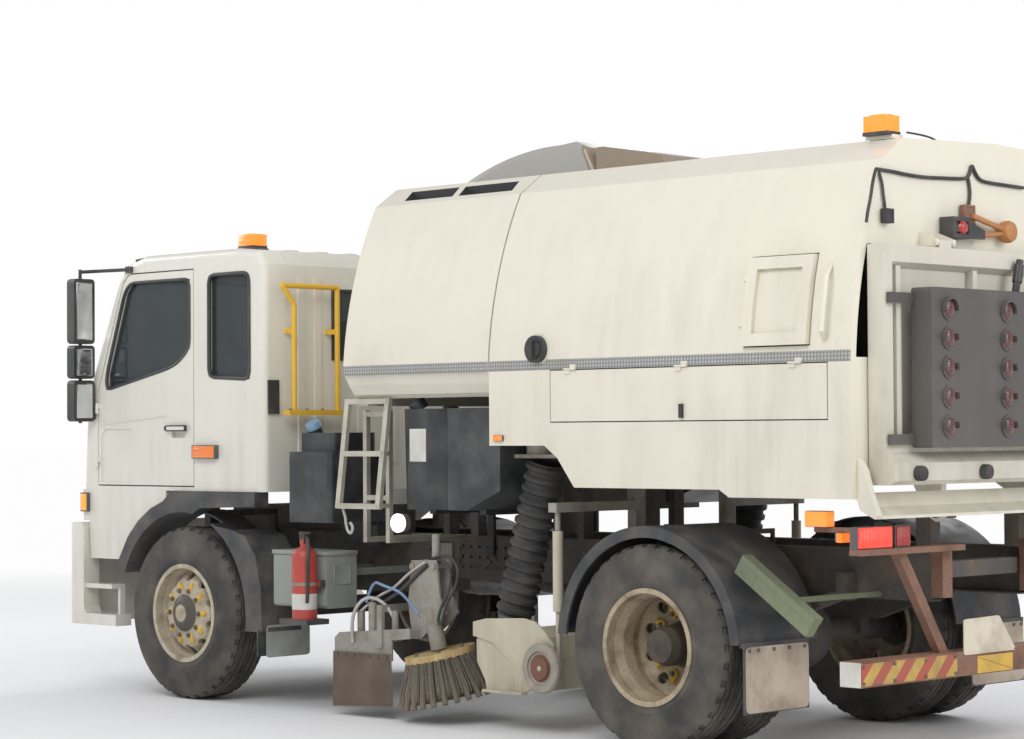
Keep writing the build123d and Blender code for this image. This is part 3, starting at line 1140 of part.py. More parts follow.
# Stowed broom beside the tail
with BuildPart() as broom:
    tail = Vector(rear(-1000), 1100, 690)
    nose = Vector(rear(-560), 1100, 985)
    slope = (nose - tail).normalized()
    across = Vector(-slope.Z, 0, slope.X)
    with Locations(Plane(origin=(nose + tail) / 2, x_dir=slope, z_dir=across).location):
        Box((nose - tail).length, 70, 34)
    with Locations(Plane(origin=(nose + tail) / 2 - across * 52, x_dir=slope, z_dir=across).location):
        Box((nose - tail).length, 60, 72)
    block((rear(-880), rail_outer_y + seat_gap, 775), (rear(-850), 1110, 800))
save(broom.part, "broom")

# Beacons on the hopper's tail, each a lens on a foot
with BuildPart() as hopper_beacons:
    beacon_y = crest_y - 20
    for side, _ in sides:
        block((rear(-1235), side * (beacon_y - 62), crest_z + 3.4), (rear(-1065), side * (beacon_y + 15), crest_z + 24))
        block((rear(-1225), side * (beacon_y - 58), crest_z + 20), (rear(-1075), side * (beacon_y + 50), crest_z + 118))
    fillet(hopper_beacons.edges().filter_by(Axis.Z).filter_by(lambda edge: edge.length > 60), 14)
save(hopper_beacons.part, "hopper_beacons")

# Dark fittings on the hopper's side: a round filler cap with its grip, and the latch plate by the locker
with BuildPart() as hopper_fittings:
    face_y = skin_y(cap_z) + cap_boss
    rod((rear(cap_x), face_y + seat_gap, cap_z), (rear(cap_x), face_y + 26, cap_z), cap_radius)
    rod((rear(cap_x), face_y + 20, cap_z), (rear(cap_x), face_y + 42, cap_z), cap_radius - 22)
    block((rear(cap_x - 14), face_y + 40, cap_z - 44), (rear(cap_x + 14), face_y + 60, cap_z + 44))
save(hopper_fittings.part, "hopper_fittings")

# Inspection hatch on the left side, curved with the body, hinged along its front edge
hatch_band = 66
with BuildPart() as hatch_panel:
    body_bar(rear(-hatch_rear + hatch_band), rear(-hatch_front - hatch_band), -60, hopper_foot)
    body_bar(rear(-hatch_rear), rear(-hatch_front), -4, hopper_foot, mode=Mode.SUBTRACT)
    block((rear(-hatch_rear), dust_half, hatch_bottom + hatch_band), (rear(-hatch_front), body_half + 80, hatch_top - hatch_band),
          mode=Mode.INTERSECT)

with BuildPart() as hatch:
    body_bar(rear(-hatch_rear + 6), rear(-hatch_front - 6), -30, hopper_foot)
    body_bar(rear(-hatch_rear), rear(-hatch_front), 20, hopper_foot, mode=Mode.SUBTRACT)
    block((rear(-hatch_rear), dust_half, hatch_bottom + 6), (rear(-hatch_front), body_half + 60, hatch_top - 6), mode=Mode.INTERSECT)
    # The raised frame stands round a panel level with the hopper's side.
    add(hatch_panel.part, mode=Mode.SUBTRACT)
    for along in (hatch_knuckles[0] + hatch_knuckle_length + seat_gap, hatch_knuckles[1] - hatch_knuckle_length - seat_gap):
        hatch_knuckle(along, rear(-hatch_front - 34), rear(-hatch_front - 1))
save(hatch.part, "hatch_left")
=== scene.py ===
# Looks of the street sweeper truck: finishes on its solid parts, and the small
# pieces that sit on them. Metres, +X to the truck's front, +Y to its left, +Z up.
import math

import bmesh
import bpy
from mathutils import Matrix, Vector


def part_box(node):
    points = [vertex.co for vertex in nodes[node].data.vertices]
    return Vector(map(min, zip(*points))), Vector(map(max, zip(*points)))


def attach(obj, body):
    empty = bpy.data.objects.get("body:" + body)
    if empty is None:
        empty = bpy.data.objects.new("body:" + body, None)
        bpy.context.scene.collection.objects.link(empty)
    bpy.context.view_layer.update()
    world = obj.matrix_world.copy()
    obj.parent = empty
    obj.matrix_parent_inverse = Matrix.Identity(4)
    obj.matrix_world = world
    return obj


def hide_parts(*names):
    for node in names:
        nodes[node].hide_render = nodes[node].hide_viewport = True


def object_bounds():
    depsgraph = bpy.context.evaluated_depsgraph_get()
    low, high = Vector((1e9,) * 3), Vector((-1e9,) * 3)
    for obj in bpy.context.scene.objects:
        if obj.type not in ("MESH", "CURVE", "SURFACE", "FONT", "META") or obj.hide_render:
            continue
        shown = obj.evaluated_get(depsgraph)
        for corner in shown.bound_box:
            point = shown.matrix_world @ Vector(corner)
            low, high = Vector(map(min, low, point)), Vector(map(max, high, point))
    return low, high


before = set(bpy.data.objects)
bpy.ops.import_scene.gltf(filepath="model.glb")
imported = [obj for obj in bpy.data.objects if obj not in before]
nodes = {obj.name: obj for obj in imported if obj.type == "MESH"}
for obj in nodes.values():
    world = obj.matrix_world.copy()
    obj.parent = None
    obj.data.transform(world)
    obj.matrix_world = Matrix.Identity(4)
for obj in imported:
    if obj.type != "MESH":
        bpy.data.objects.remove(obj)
solid_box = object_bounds()

rear_axle = -1.7125
front_axle = 2.1075
axle_height = 0.520
sides = ((1, "left"), (-1, "right"))


def rear(x):
    """X of a point this far ahead of the rear axle."""
    return rear_axle + x


def front(x):
    """X of a point this far ahead of the front axle."""
    return front_axle + x


def from_rear(points):
    """Points whose X is measured from the rear axle."""
    return [(rear(x), y, z) for x, y, z in points]


# The left channel brush: the middle of its disc, and the way its axis leans.
brush_middle = Vector((rear(1.740), 0.985, 0.400))
brush_up = Vector((0.147, 0.147, 0.978))


# ---------------------------------------------------------------- camera and light

def place_camera():
    """The photograph's view: behind and to the left, near head height, a long lens."""
    yaw, pitch, roll = -0.790420, 0.024485, -0.005983
    focal_pixels, photo_width, sensor_width = 2588.805, 1024, 36.0
    look = Vector((math.cos(yaw) * math.cos(pitch), math.sin(yaw) * math.cos(pitch), math.sin(pitch)))
    level = Vector((math.sin(yaw), -math.cos(yaw), 0.0))
    over = level.cross(look)
    right = math.cos(roll) * level + math.sin(roll) * over
    up = math.cos(roll) * over - math.sin(roll) * level
    bpy.ops.object.camera_add(location=(rear(-8.697235), 10.940881, 1.602417))
    camera = bpy.context.object
    camera.name = "photo_camera"
    camera.rotation_euler = Matrix((right, up, -look)).transposed().to_euler()
    camera.data.sensor_width = sensor_width
    camera.data.lens = focal_pixels / photo_width * sensor_width
    camera.data.clip_start = 0.1
    camera.data.clip_end = 900.0
    bpy.context.scene.camera = camera


def soft_lamp(name, place, aim, size, power):
    bpy.ops.object.light_add(type="AREA", location=place)
    lamp = bpy.context.object
    lamp.name = name
    lamp.data.shape = "RECTANGLE"
    lamp.data.size, lamp.data.size_y = size
    lamp.data.energy = power
    lamp.rotation_euler = (Vector(aim) - Vector(place)).to_track_quat("-Z", "Y").to_euler()


def light_the_room():
    """Four soft lamps in a pale room, which the camera sees as white."""
    soft_lamp("high_left_lamp", (-4.0, 9.0, 8.0), (0, 0, 1.2), (7, 5), 620)
    soft_lamp("rear_lamp", (-11.0, -1.0, 6.0), (-1.5, 0, 1.2), (6, 5), 430)
    soft_lamp("right_fill", (3.0, -10.0, 6.5), (0, 0, 1.2), (7, 5), 420)
    soft_lamp("front_fill", (11.0, 3.0, 5.5), (1.5, 0, 1.4), (6, 5), 330)
    world = bpy.context.scene.world or bpy.data.worlds.new("room")
    bpy.context.scene.world = world
    world.use_nodes = True
    tree = world.node_tree
    tree.nodes.clear()
    out = tree.nodes.new("ShaderNodeOutputWorld")
    path = tree.nodes.new("ShaderNodeLightPath")
    seen = tree.nodes.new("ShaderNodeMixShader")
    tree.links.new(path.outputs["Is Camera Ray"], seen.inputs["Fac"])
    for socket, colour, strength in ((1, (0.93, 0.95, 1.0, 1), 0.52), (2, (1, 1, 1, 1), 1.0)):
        glow = tree.nodes.new("ShaderNodeBackground")
        glow.inputs["Color"].default_value = colour
        glow.inputs["Strength"].default_value = strength
        tree.links.new(glow.outputs[0], seen.inputs[socket])
    tree.links.new(seen.outputs[0], out.inputs["Surface"])


# ---------------------------------------------------------------- finishes

class Finish:
    """A material built from nodes on Object coordinates."""

    def __init__(self, name):
        self.material = bpy.data.materials.new(name)
        self.material.use_nodes = True
        self.tree = self.material.node_tree
        self.tree.nodes.clear()
        out = self.add("ShaderNodeOutputMaterial")
        self.shader = self.add("ShaderNodeBsdfPrincipled")
        self.join(self.shader.outputs[0], out.inputs["Surface"])
        self.place = self.add("ShaderNodeTexCoord").outputs["Object"]
        self.split = None

    def add(self, kind, **values):
        node = self.tree.nodes.new(kind)
        for key, value in values.items():
            setattr(node, key, value)
        return node

    def join(self, a, b):
        self.tree.links.new(a, b)

    def feed(self, socket, value):
        """Gives a socket another socket's value, a colour or a number."""
        if isinstance(value, (int, float)):
            socket.default_value = value
        elif isinstance(value, tuple):
            socket.default_value = (*value, 1.0)
        else:
            self.join(value, socket)

    def set(self, **values):
        for key, value in values.items():
            self.shader.inputs[key.replace("_", " ")].default_value = value

    def noise(self, scale, detail=5.0, stretch=None, rough=0.55):
        """Cloudy noise, with its place stretched where a pattern runs one way."""
        node = self.add("ShaderNodeTexNoise")
        node.inputs["Scale"].default_value = scale
        node.inputs["Detail"].default_value = detail
        node.inputs["Roughness"].default_value = rough
        source = self.place
        if stretch:
            mapping = self.add("ShaderNodeMapping")
            mapping.inputs["Scale"].default_value = stretch
            self.join(self.place, mapping.inputs["Vector"])
            source = mapping.outputs[0]
        self.join(source, node.inputs["Vector"])
        return node.outputs["Fac"]

    def range(self, value, low, high, to_low=0.0, to_high=1.0):
        node = self.add("ShaderNodeMapRange")
        node.inputs["From Min"].default_value = low
        node.inputs["From Max"].default_value = high
        node.inputs["To Min"].default_value = to_low
        node.inputs["To Max"].default_value = to_high
        self.join(value, node.inputs["Value"])
        return node.outputs[0]

    def spots(self, scale, detail, low, high, most):
        """Noise as patches: none below its low end, most above its high end."""
        return self.range(self.noise(scale, detail), low, high, 0.0, most)

    def math(self, kind, *values):
        node = self.add("ShaderNodeMath", operation=kind)
        for socket, value in zip(node.inputs, values):
            self.feed(socket, value)
        return node.outputs[0]

    def plus(self, a, b):
        return self.math("ADD", a, b)

    def minus(self, a, b):
        return self.math("SUBTRACT", a, b)

    def times(self, product, *factors):
        for factor in factors:
            product = self.math("MULTIPLY", product, factor)
        return product

    def over(self, value, edge):
        return self.math("GREATER_THAN", value, edge)

    def under(self, value, edge):
        return self.math("LESS_THAN", value, edge)

    def axis(self, letter):
        if not self.split:
            self.split = self.add("ShaderNodeSeparateXYZ")
            self.join(self.place, self.split.inputs[0])
        return self.split.outputs[letter]

    def wide(self):
        """Distance from the truck's middle, the same on both sides."""
        return self.math("ABSOLUTE", self.axis("Y"))

    def reach(self, x, z):
        """Distance from an axle that runs across the truck."""
        along = self.minus(self.axis("X"), x)
        rise = self.minus(self.axis("Z"), z)
        return self.math("SQRT", self.plus(self.times(along, along), self.times(rise, rise)))

    def mix(self, share, a, b):
        """Blend of two colours, each a tuple or a socket."""
        node = self.add("ShaderNodeMix", data_type="RGBA")
        for index, value in ((0, share), (6, a), (7, b)):
            self.feed(node.inputs[index], value)
        return node.outputs[2]

    def colour(self, share, a, b):
        self.join(self.mix(share, a, b), self.shader.inputs["Base Color"])

    def rough(self, value, low, high, to_low, to_high):
        self.join(self.range(value, low, high, to_low, to_high), self.shader.inputs["Roughness"])

    def bump(self, height, strength, distance):
        node = self.add("ShaderNodeBump")
        node.inputs["Strength"].default_value = strength
        node.inputs["Distance"].default_value = distance
        self.join(height, node.inputs["Height"])
        self.join(node.outputs[0], self.shader.inputs["Normal"])


def run_down(f):
    """Clouds of dirt crossed by streaks that run down."""
    cloud = f.noise(2.2, 8.0)
    streak = f.noise(8.8, 6.0, stretch=(1.0, 1.0, 0.12))
    return f.times(f.range(cloud, 0.35, 0.68), f.range(streak, 0.32, 0.72))


def rusted(f, scale, share, start):
    """Patches of rust, which start at this noise level, and fine specks round them."""
    patches = f.range(f.noise(scale, 10.0, rough=0.62), start, 0.66, 0.0, share)
    fine = f.spots(scale * 9, 6.0, 0.4, 0.75, share * 0.6)
    return f.math("MAXIMUM", patches, fine)


def dirty_paint(f, paint, dirt, rough, low, high, most, least, coat=0.0):
    """Paint that is dirtier low down, with streaks that run down it and a fine grain."""
    height = f.range(f.axis("Z"), low, high, most, least)
    share = f.plus(f.times(run_down(f), height), f.times(height, 0.22))
    share.node.use_clamp = True
    f.colour(share, paint, dirt)
    f.rough(share, 0.0, 0.8, rough, min(rough + 0.35, 0.95))
    if coat:
        f.set(Coat_Weight=coat, Coat_Roughness=0.12)
    f.bump(f.noise(160.0, 3.0), 0.06, 0.0015)


def grained_plastic(f, colour, dust, rough, share, grain=420.0):
    cloud = f.spots(5.0, 8.0, 0.42, 0.72, share)
    f.colour(cloud, colour, dust)
    f.rough(cloud, 0.0, 0.6, rough, min(rough + 0.25, 0.95))
    f.bump(f.noise(grain, 2.0), 0.25, 0.0008)


def rusty_steel(f, colour, rust, share, rough, metal, scale):
    cover = rusted(f, scale, share, 0.44)
    f.colour(cover, colour, rust)
    f.rough(cover, 0.0, 0.8, rough, 0.9)
    f.join(f.range(cover, 0.0, 0.7, metal, 0.0), f.shader.inputs["Metallic"])
    f.bump(f.noise(scale * 14, 5.0), 0.22, 0.0015)


def rubber(f, colour, dust, share, scale, rough=0.72):
    cloud = f.spots(scale, 9.0, 0.36, 0.7, share)
    f.colour(cloud, colour, dust)
    f.rough(cloud, 0.0, 0.6, rough, 0.95)
    f.bump(f.noise(260.0, 4.0), 0.3, 0.0012)


def clear_glass(f, tint):
    smear = f.range(f.noise(2.4, 6.0, stretch=(1.0, 1.0, 0.35)), 0.4, 0.8)
    f.colour(f.times(smear, 0.16), tint, (0.55, 0.56, 0.52))
    f.rough(smear, 0.0, 1.0, 0.03, 0.15)
    f.set(Transmission_Weight=0.86, IOR=1.45)


def lens(f, colour, glow, rough, ribs, letter):
    """A moulded lamp lens with fine ribs, lit a little from inside where glow is given."""
    wave = f.math("SINE", f.times(f.axis(letter), ribs))
    cloud = f.noise(9.0, 5.0)
    f.colour(f.range(cloud, 0.35, 0.75, 0.0, 0.7), colour, tuple(c * 0.55 for c in colour))
    f.rough(cloud, 0.3, 0.8, rough, rough + 0.16)
    f.set(Transmission_Weight=0.15, Coat_Weight=0.5)
    f.bump(wave, 0.35, 0.002)
    if glow:
        brighter = tuple(min(1.0, c * 1.3 + 0.06) for c in colour)
        lit = f.mix(f.range(cloud, 0.3, 0.8), colour, brighter)
        f.join(lit, f.shader.inputs["Emission Color"])
        f.set(Emission_Strength=glow)


def dull_metal(f, colour, other, rough, metal, scale=30.0, stretch=(1.0, 1.0, 6.0)):
    brushed = f.noise(scale, 4.0, stretch=stretch)
    f.colour(f.spots(6.0, 8.0, 0.4, 0.75, 0.7), colour, other)
    f.rough(brushed, 0.3, 0.8, rough, rough + 0.25)
    f.set(Metallic=metal)
    f.bump(brushed, 0.12, 0.001)


def warning_stripes(f, first, second):
    """Slanted bands that lean away from the truck's middle on each side."""
    band_width = 0.085
    run = f.plus(f.wide(), f.axis("Z"))
    on_second = f.over(f.math("FRACT", f.math("DIVIDE", run, 2 * band_width)), 0.5)
    grime = f.spots(6.0, 9.0, 0.4, 0.72, 0.55)
    f.colour(grime, f.mix(on_second, first, second), (0.20, 0.15, 0.10))
    f.rough(grime, 0.0, 0.6, 0.36, 0.8)
    f.bump(f.noise(420.0, 1.0), 0.2, 0.0006)


def ribbed_strip(f, pale, dark):
    """The grey reflective strip with its fine upright ribs, in rows."""
    rib_pitch, row_pitch = 0.02, 0.0185
    rib = f.math("SINE", f.times(f.axis("X"), 2 * math.pi / rib_pitch))
    row = f.math("SINE", f.times(f.axis("Z"), 2 * math.pi / row_pitch))
    cell = f.times(f.range(rib, -0.5, 0.7), f.range(row, -0.9, 0.1))
    grime = f.spots(4.0, 8.0, 0.38, 0.72, 0.5)
    f.colour(grime, f.mix(cell, dark, pale), (0.24, 0.22, 0.18))
    f.rough(grime, 0.0, 0.5, 0.35, 0.7)
    f.bump(cell, 0.35, 0.0012)


def bristle_finish(f, tip, root, low, high, scale):
    """Bristles: fine streaks along them, paler with dust towards their tips."""
    streak = f.noise(scale, 3.0, stretch=(1.0, 1.0, 0.08))
    base = f.mix(f.range(f.axis("Z"), low, high), tip, root)
    f.colour(f.times(f.range(streak, 0.3, 0.75), 0.75), base, (0.30, 0.26, 0.20))
    f.rough(streak, 0.2, 0.8, 0.6, 0.95)
    f.bump(streak, 0.6, 0.004)


def brush_finish(f, disc, tuft, low, high):
    """The channel brush: a worn yellow-tan disc above its leaning plane, dark tufts below it."""
    disc_bottom = -0.042
    along = f.times(f.minus(f.axis("X"), brush_middle.x), brush_up.x)
    out = f.times(f.minus(f.wide(), brush_middle.y), brush_up.y)
    rise = f.times(f.minus(f.axis("Z"), brush_middle.z), brush_up.z)
    on_disc = f.over(f.plus(f.plus(along, out), rise), disc_bottom)
    streak = f.noise(190.0, 3.0, stretch=(1.0, 1.0, 0.08))
    cloud = f.spots(14.0, 8.0, 0.4, 0.7, 0.75)
    base = f.mix(f.range(f.axis("Z"), low, high), tuft, (0.045, 0.038, 0.032))
    bristle = f.mix(f.times(f.range(streak, 0.3, 0.75), 0.6), base, (0.26, 0.22, 0.165))
    f.colour(on_disc, bristle, f.mix(cloud, disc, (0.20, 0.145, 0.085)))
    f.rough(streak, 0.2, 0.8, 0.6, 0.95)
    f.bump(streak, 0.5, 0.003)


def body_finish(f, paint, dirt, cowl, duct):
    """The body's paint, with painted shade in the eaves slots on the pod, its cowl grey and the roof duct
    brown-grey.
    """
    slot_runs = ((1.2295, 1.6505), (1.6995, 2.0905))
    slot_inner, slot_outer, slot_bottom = 0.8194, 0.9053, 2.9245
    end_lean, lean_from, cowl_bottom, duct_front = 0.45, 2.925, 3.047, 1.110
    z, wide = f.axis("Z"), f.wide()
    run = f.minus(f.minus(f.axis("X"), rear_axle), f.times(f.minus(z, lean_from), end_lean))
    in_run = f.math("MAXIMUM", *(f.times(f.over(run, low), f.under(run, high)) for low, high in slot_runs))
    slot = f.times(in_run, f.over(wide, slot_inner), f.under(wide, slot_outer), f.over(z, slot_bottom))
    high = f.over(z, cowl_bottom)
    on_duct = f.times(high, f.under(run, duct_front))
    share = f.times(run_down(f), f.range(z, 1.2, 3.1, 0.36, 0.06))
    share = f.plus(share, f.range(z, 1.2, 2.2, 0.07, 0.012))
    base = f.mix(on_duct, f.mix(high, paint, cowl), duct)
    # The eaves slots are painted near-black: painted shade for the dark inside of the slots under the eaves.
    f.colour(slot, f.mix(share, base, dirt), (0.012, 0.012, 0.013))
    f.rough(share, 0.0, 0.6, 0.30, 0.65)
    f.set(Coat_Weight=0.4, Coat_Roughness=0.12)
    f.bump(f.noise(160.0, 3.0), 0.06, 0.0015)


def rim_finish(f, paint, rust, axle, dark_from, dark_to, share, scale):
    """A wheel's rim: dusty paint with rust, and a dark greasy ring round the hub."""
    reach = f.reach(axle, axle_height)
    ring = f.times(f.range(reach, dark_from - 0.006, dark_from + 0.004),
                   f.range(reach, dark_to - 0.004, dark_to + 0.008, 1.0, 0.0))
    cover = rusted(f, scale, share, 0.42)
    f.colour(f.times(ring, 0.88), f.mix(cover, paint, rust), (0.035, 0.030, 0.026))
    f.rough(cover, 0.0, 0.8, 0.5, 0.9)
    f.bump(f.noise(scale * 14, 5.0), 0.2, 0.0015)


def extinguisher_finish(f, paint, dark):
    """Red on the bottle, dark on its tray and clamp."""
    bottle_x, bottle_radius, bottle_bottom, bottle_inner = rear(2.610), 0.0728, 0.5455, 1.1465
    along = f.math("ABSOLUTE", f.minus(f.axis("X"), bottle_x))
    aside = f.math("MAXIMUM", f.over(along, bottle_radius), f.under(f.wide(), bottle_inner))
    off_bottle = f.math("MAXIMUM", f.under(f.axis("Z"), bottle_bottom), aside)
    cloud = f.spots(7.0, 8.0, 0.4, 0.72, 0.55)
    stain = f.spots(40.0, 6.0, 0.5, 0.75, 0.5)
    red = f.mix(stain, f.mix(cloud, paint, (0.30, 0.085, 0.06)), (0.16, 0.08, 0.06))
    f.colour(off_bottle, red, f.mix(cloud, dark, (0.16, 0.13, 0.10)))
    f.rough(cloud, 0.0, 0.6, 0.32, 0.6)
    f.bump(f.noise(160.0, 3.0), 0.08, 0.0015)


def jockey_finish(f, tyre, dust, hub):
    """The small wheel: a dusty pale tyre round a red-brown hub."""
    axle_x, axle_z, hub_radius = rear(0.845), 0.358, 0.074
    on_hub = f.under(f.reach(axle_x, axle_z), hub_radius)
    cloud = f.spots(9.0, 9.0, 0.36, 0.7, 0.7)
    f.colour(on_hub, f.mix(cloud, tyre, dust), f.mix(cloud, hub, (0.11, 0.075, 0.055)))
    f.rough(cloud, 0.0, 0.6, 0.7, 0.95)
    f.bump(f.noise(200.0, 4.0), 0.3, 0.0012)


finishes = {}


def make_finishes():
    """Every finish by its name: how it is made, its colours and its measures, in that maker's order."""
    soil = (0.235, 0.195, 0.14)
    paint, plastic, steel = dirty_paint, grained_plastic, rusty_steel
    rows = {
        "cab_paint": (paint, (0.76, 0.735, 0.65), soil, 0.26, 0.6, 3.0, 0.34, 0.03, 0.5),
        "body_paint": (body_finish, (0.74, 0.70, 0.585), soil, (0.36, 0.35, 0.325), (0.27, 0.215, 0.155)),
        "door_paint": (paint, (0.66, 0.625, 0.53), soil, 0.36, 1.2, 2.6, 0.62, 0.25),
        "board_paint": (paint, (0.075, 0.07, 0.068), (0.22, 0.18, 0.14), 0.42, 1.4, 2.4, 0.4, 0.25),
        "frame_paint": (steel, (0.075, 0.075, 0.074), (0.19, 0.14, 0.095), 0.7, 0.6, 0.1, 5.0),
        "cast_iron": (steel, (0.15, 0.145, 0.14), (0.26, 0.16, 0.09), 0.55, 0.55, 0.5, 9.0),
        "black_plastic": (plastic, (0.032, 0.033, 0.035), (0.16, 0.145, 0.12), 0.42, 0.4),
        "guard_plastic": (plastic, (0.040, 0.043, 0.048), (0.17, 0.15, 0.125), 0.5, 0.7),
        "cabin_plastic": (plastic, (0.13, 0.13, 0.135), (0.22, 0.21, 0.2), 0.6, 0.4),
        "tank_plastic": (plastic, (0.028, 0.032, 0.034), (0.15, 0.15, 0.14), 0.38, 0.45, 260.0),
        "green_grey": (paint, (0.30, 0.325, 0.30), (0.17, 0.15, 0.12), 0.45, 0.2, 1.3, 0.7, 0.3),
        "flap_grey": (plastic, (0.40, 0.42, 0.38), (0.20, 0.19, 0.16), 0.7, 0.7),
        "flap_brown": (plastic, (0.52, 0.44, 0.35), (0.24, 0.18, 0.13), 0.7, 0.8, 120.0),
        "tank_metal": (dull_metal, (0.42, 0.43, 0.43), (0.20, 0.19, 0.17), 0.35, 0.9, 40.0, (1, 6, 6)),
        "ladder_metal": (dull_metal, (0.60, 0.57, 0.48), (0.36, 0.33, 0.27), 0.42, 0.7),
        "red_paint": (extinguisher_finish, (0.50, 0.060, 0.045), (0.06, 0.06, 0.06)),
        "rail_yellow": (paint, (0.80, 0.47, 0.035), (0.30, 0.2, 0.06), 0.34, 1.7, 2.7, 0.4, 0.1),
        "rust_paint": (steel, (0.25, 0.13, 0.085), (0.12, 0.07, 0.05), 0.8, 0.62, 0.1, 5.0),
        "worn_steel": (steel, (0.36, 0.345, 0.31), (0.20, 0.15, 0.10), 0.75, 0.5, 0.35, 6.0),
        "cream_steel": (paint, (0.60, 0.55, 0.42), soil, 0.42, 0.2, 1.4, 0.8, 0.3),
        "hose_rubber": (rubber, (0.028, 0.028, 0.030), (0.15, 0.14, 0.12), 0.45, 6.0),
        "tyre_rubber": (rubber, (0.042, 0.040, 0.038), (0.155, 0.135, 0.11), 0.85, 5.0),
        "jockey_rubber": (jockey_finish, (0.36, 0.325, 0.27), (0.19, 0.16, 0.13), (0.20, 0.085, 0.055)),
        "front_rim_paint": (rim_finish, (0.53, 0.47, 0.36), (0.22, 0.16, 0.105), front_axle,
                            0.052, 0.112, 0.75, 8.0),
        "rear_rim_paint": (rim_finish, (0.45, 0.37, 0.25), (0.17, 0.12, 0.08), rear_axle,
                           0.0, 0.118, 0.85, 7.0),
        "brush_bristle": (brush_finish, (0.56, 0.41, 0.19), (0.15, 0.12, 0.085), 0.08, 0.36),
        "broom_green": (bristle_finish, (0.16, 0.22, 0.10), (0.10, 0.15, 0.09), 0.6, 1.0, 260.0),
        "tinted_glass": (clear_glass, (0.20, 0.23, 0.235)),
        "amber_lens": (lens, (0.80, 0.30, 0.03), 0.7, 0.15, 300.0, "Z"),
        "orange_lens": (lens, (0.82, 0.20, 0.03), 0.25, 0.2, 260.0, "X"),
        "orange_glow": (lens, (0.86, 0.17, 0.012), 0.9, 0.2, 260.0, "Y"),
        "amber_glow": (lens, (0.86, 0.22, 0.015), 0.9, 0.2, 260.0, "X"),
        "amber_bright": (lens, (0.86, 0.20, 0.010), 0.95, 0.2, 240.0, "Z"),
        "red_glow": (lens, (0.86, 0.030, 0.010), 1.0, 0.2, 240.0, "Y"),
        "red_lens": (lens, (0.42, 0.03, 0.02), 0.15, 0.2, 240.0, "Y"),
        "clear_lens": (lens, (0.62, 0.65, 0.66), 0.0, 0.08, 200.0, "Y"),
        "smoked_lens": (lens, (0.12, 0.040, 0.032), 0.0, 0.15, 500.0, "Z"),
        "mirror_glass": (dull_metal, (0.72, 0.74, 0.76), (0.42, 0.43, 0.44), 0.06, 1.0, 6.0),
        "label_pale": (plastic, (0.66, 0.65, 0.60), (0.34, 0.31, 0.26), 0.5, 0.6),
        "plate_yellow": (plastic, (0.72, 0.44, 0.06), (0.28, 0.20, 0.10), 0.45, 0.6),
        "flap_cream": (plastic, (0.66, 0.59, 0.47), (0.26, 0.19, 0.13), 0.6, 0.7, 120.0),
        "chevrons": (warning_stripes, (0.56, 0.36, 0.075), (0.44, 0.075, 0.045)),
        "rust_orange": (steel, (0.46, 0.20, 0.07), (0.20, 0.11, 0.06), 0.6, 0.5, 0.1, 9.0),
        "urea_blue": (plastic, (0.20, 0.33, 0.46), (0.22, 0.22, 0.20), 0.45, 0.4),
        "hose_pale": (rubber, (0.52, 0.52, 0.50), (0.22, 0.20, 0.17), 0.5, 6.0, 0.5),
        "hose_blue": (rubber, (0.20, 0.32, 0.52), (0.16, 0.16, 0.16), 0.4, 6.0, 0.5),
        "curtain_brown": (rubber, (0.105, 0.078, 0.058), (0.20, 0.155, 0.11), 0.7, 5.0),
        "bristle_dark": (bristle_finish, (0.20, 0.165, 0.12), (0.05, 0.042, 0.036), 0.08, 0.36, 300.0),
        "white_glow": (lens, (0.86, 0.95, 0.93), 2.2, 0.2, 240.0, "Z"),
        "lamp_housing": (plastic, (0.10, 0.10, 0.105), (0.22, 0.2, 0.17), 0.45, 0.5),
        "strip_grey": (ribbed_strip, (0.50, 0.51, 0.50), (0.22, 0.225, 0.22)),
        "pointer_yellow": (paint, (0.78, 0.50, 0.035), (0.30, 0.2, 0.07), 0.5, 0.2, 0.8, 0.5, 0.35),
    }
    for name, (make, *values) in rows.items():
        f = Finish(name)
        make(f, *values)
        finishes[name] = f.material


def dress_solids():
    """Gives each solid part its finish, in every slot that it has."""
    wearing = {
        "cab_paint": ("cab_shell", "cab_door_*", "front_bumper"),
        "body_paint": ("engine_pod", "hopper_shell", "locker_door_*", "hatch_left"),
        "door_paint": ("rear_door",),
        "board_paint": ("lamp_board",),
        "frame_paint": ("chassis_frame", "front_axle", "rear_axle", "frame_stands"),
        "cast_iron": ("engines", "pod_engine", "knuckle_*"),
        "black_plastic": ("cab_trim", "mirrors", "hopper_fittings"),
        "guard_plastic": ("front_mudguards", "rear_mudguards"),
        "cabin_plastic": ("cab_interior",),
        "tank_plastic": ("water_tanks", "urea_tank"),
        "green_grey": ("battery_box",),
        "tank_metal": ("fuel_tank",),
        "ladder_metal": ("ladder",),
        "red_paint": ("fire_extinguisher",),
        "rail_yellow": ("grab_rail",),
        "rust_paint": ("rear_bumper",),
        "worn_steel": ("sweep_frame", "brush_arm_*"),
        "cream_steel": ("nozzle_*",),
        "hose_rubber": ("suction_hose_*",),
        "tyre_rubber": ("front_tyre_*", "rear_tyres_*"),
        "jockey_rubber": ("jockey_wheel_*",),
        "front_rim_paint": ("front_rim_*",),
        "rear_rim_paint": ("rear_rims_*",),
        "brush_bristle": ("channel_brush_*",),
        "broom_green": ("broom",),
        "tinted_glass": ("cab_glass", "door_glass_*"),
        "lamp_housing": ("lamps", "hopper_beacons"),
    }
    for finish, parts in wearing.items():
        for part in sorted({part.replace("*", word) for part in parts for _, word in sides}):
            solid = nodes[part]
            if not solid.material_slots:
                solid.data.materials.append(finishes[finish])
            for place in solid.material_slots:
                place.link = "OBJECT"
                place.material = finishes[finish]


# ---------------------------------------------------------------- ways of making a piece

def clear_choice():
    """Nothing stays selected, so an operator reaches only what is made next."""
    bpy.ops.object.select_all(action="DESELECT")


def place_into_mesh():
    """Puts the active piece's place, turn and size into its mesh."""
    bpy.ops.object.transform_apply(location=True, rotation=True, scale=True)


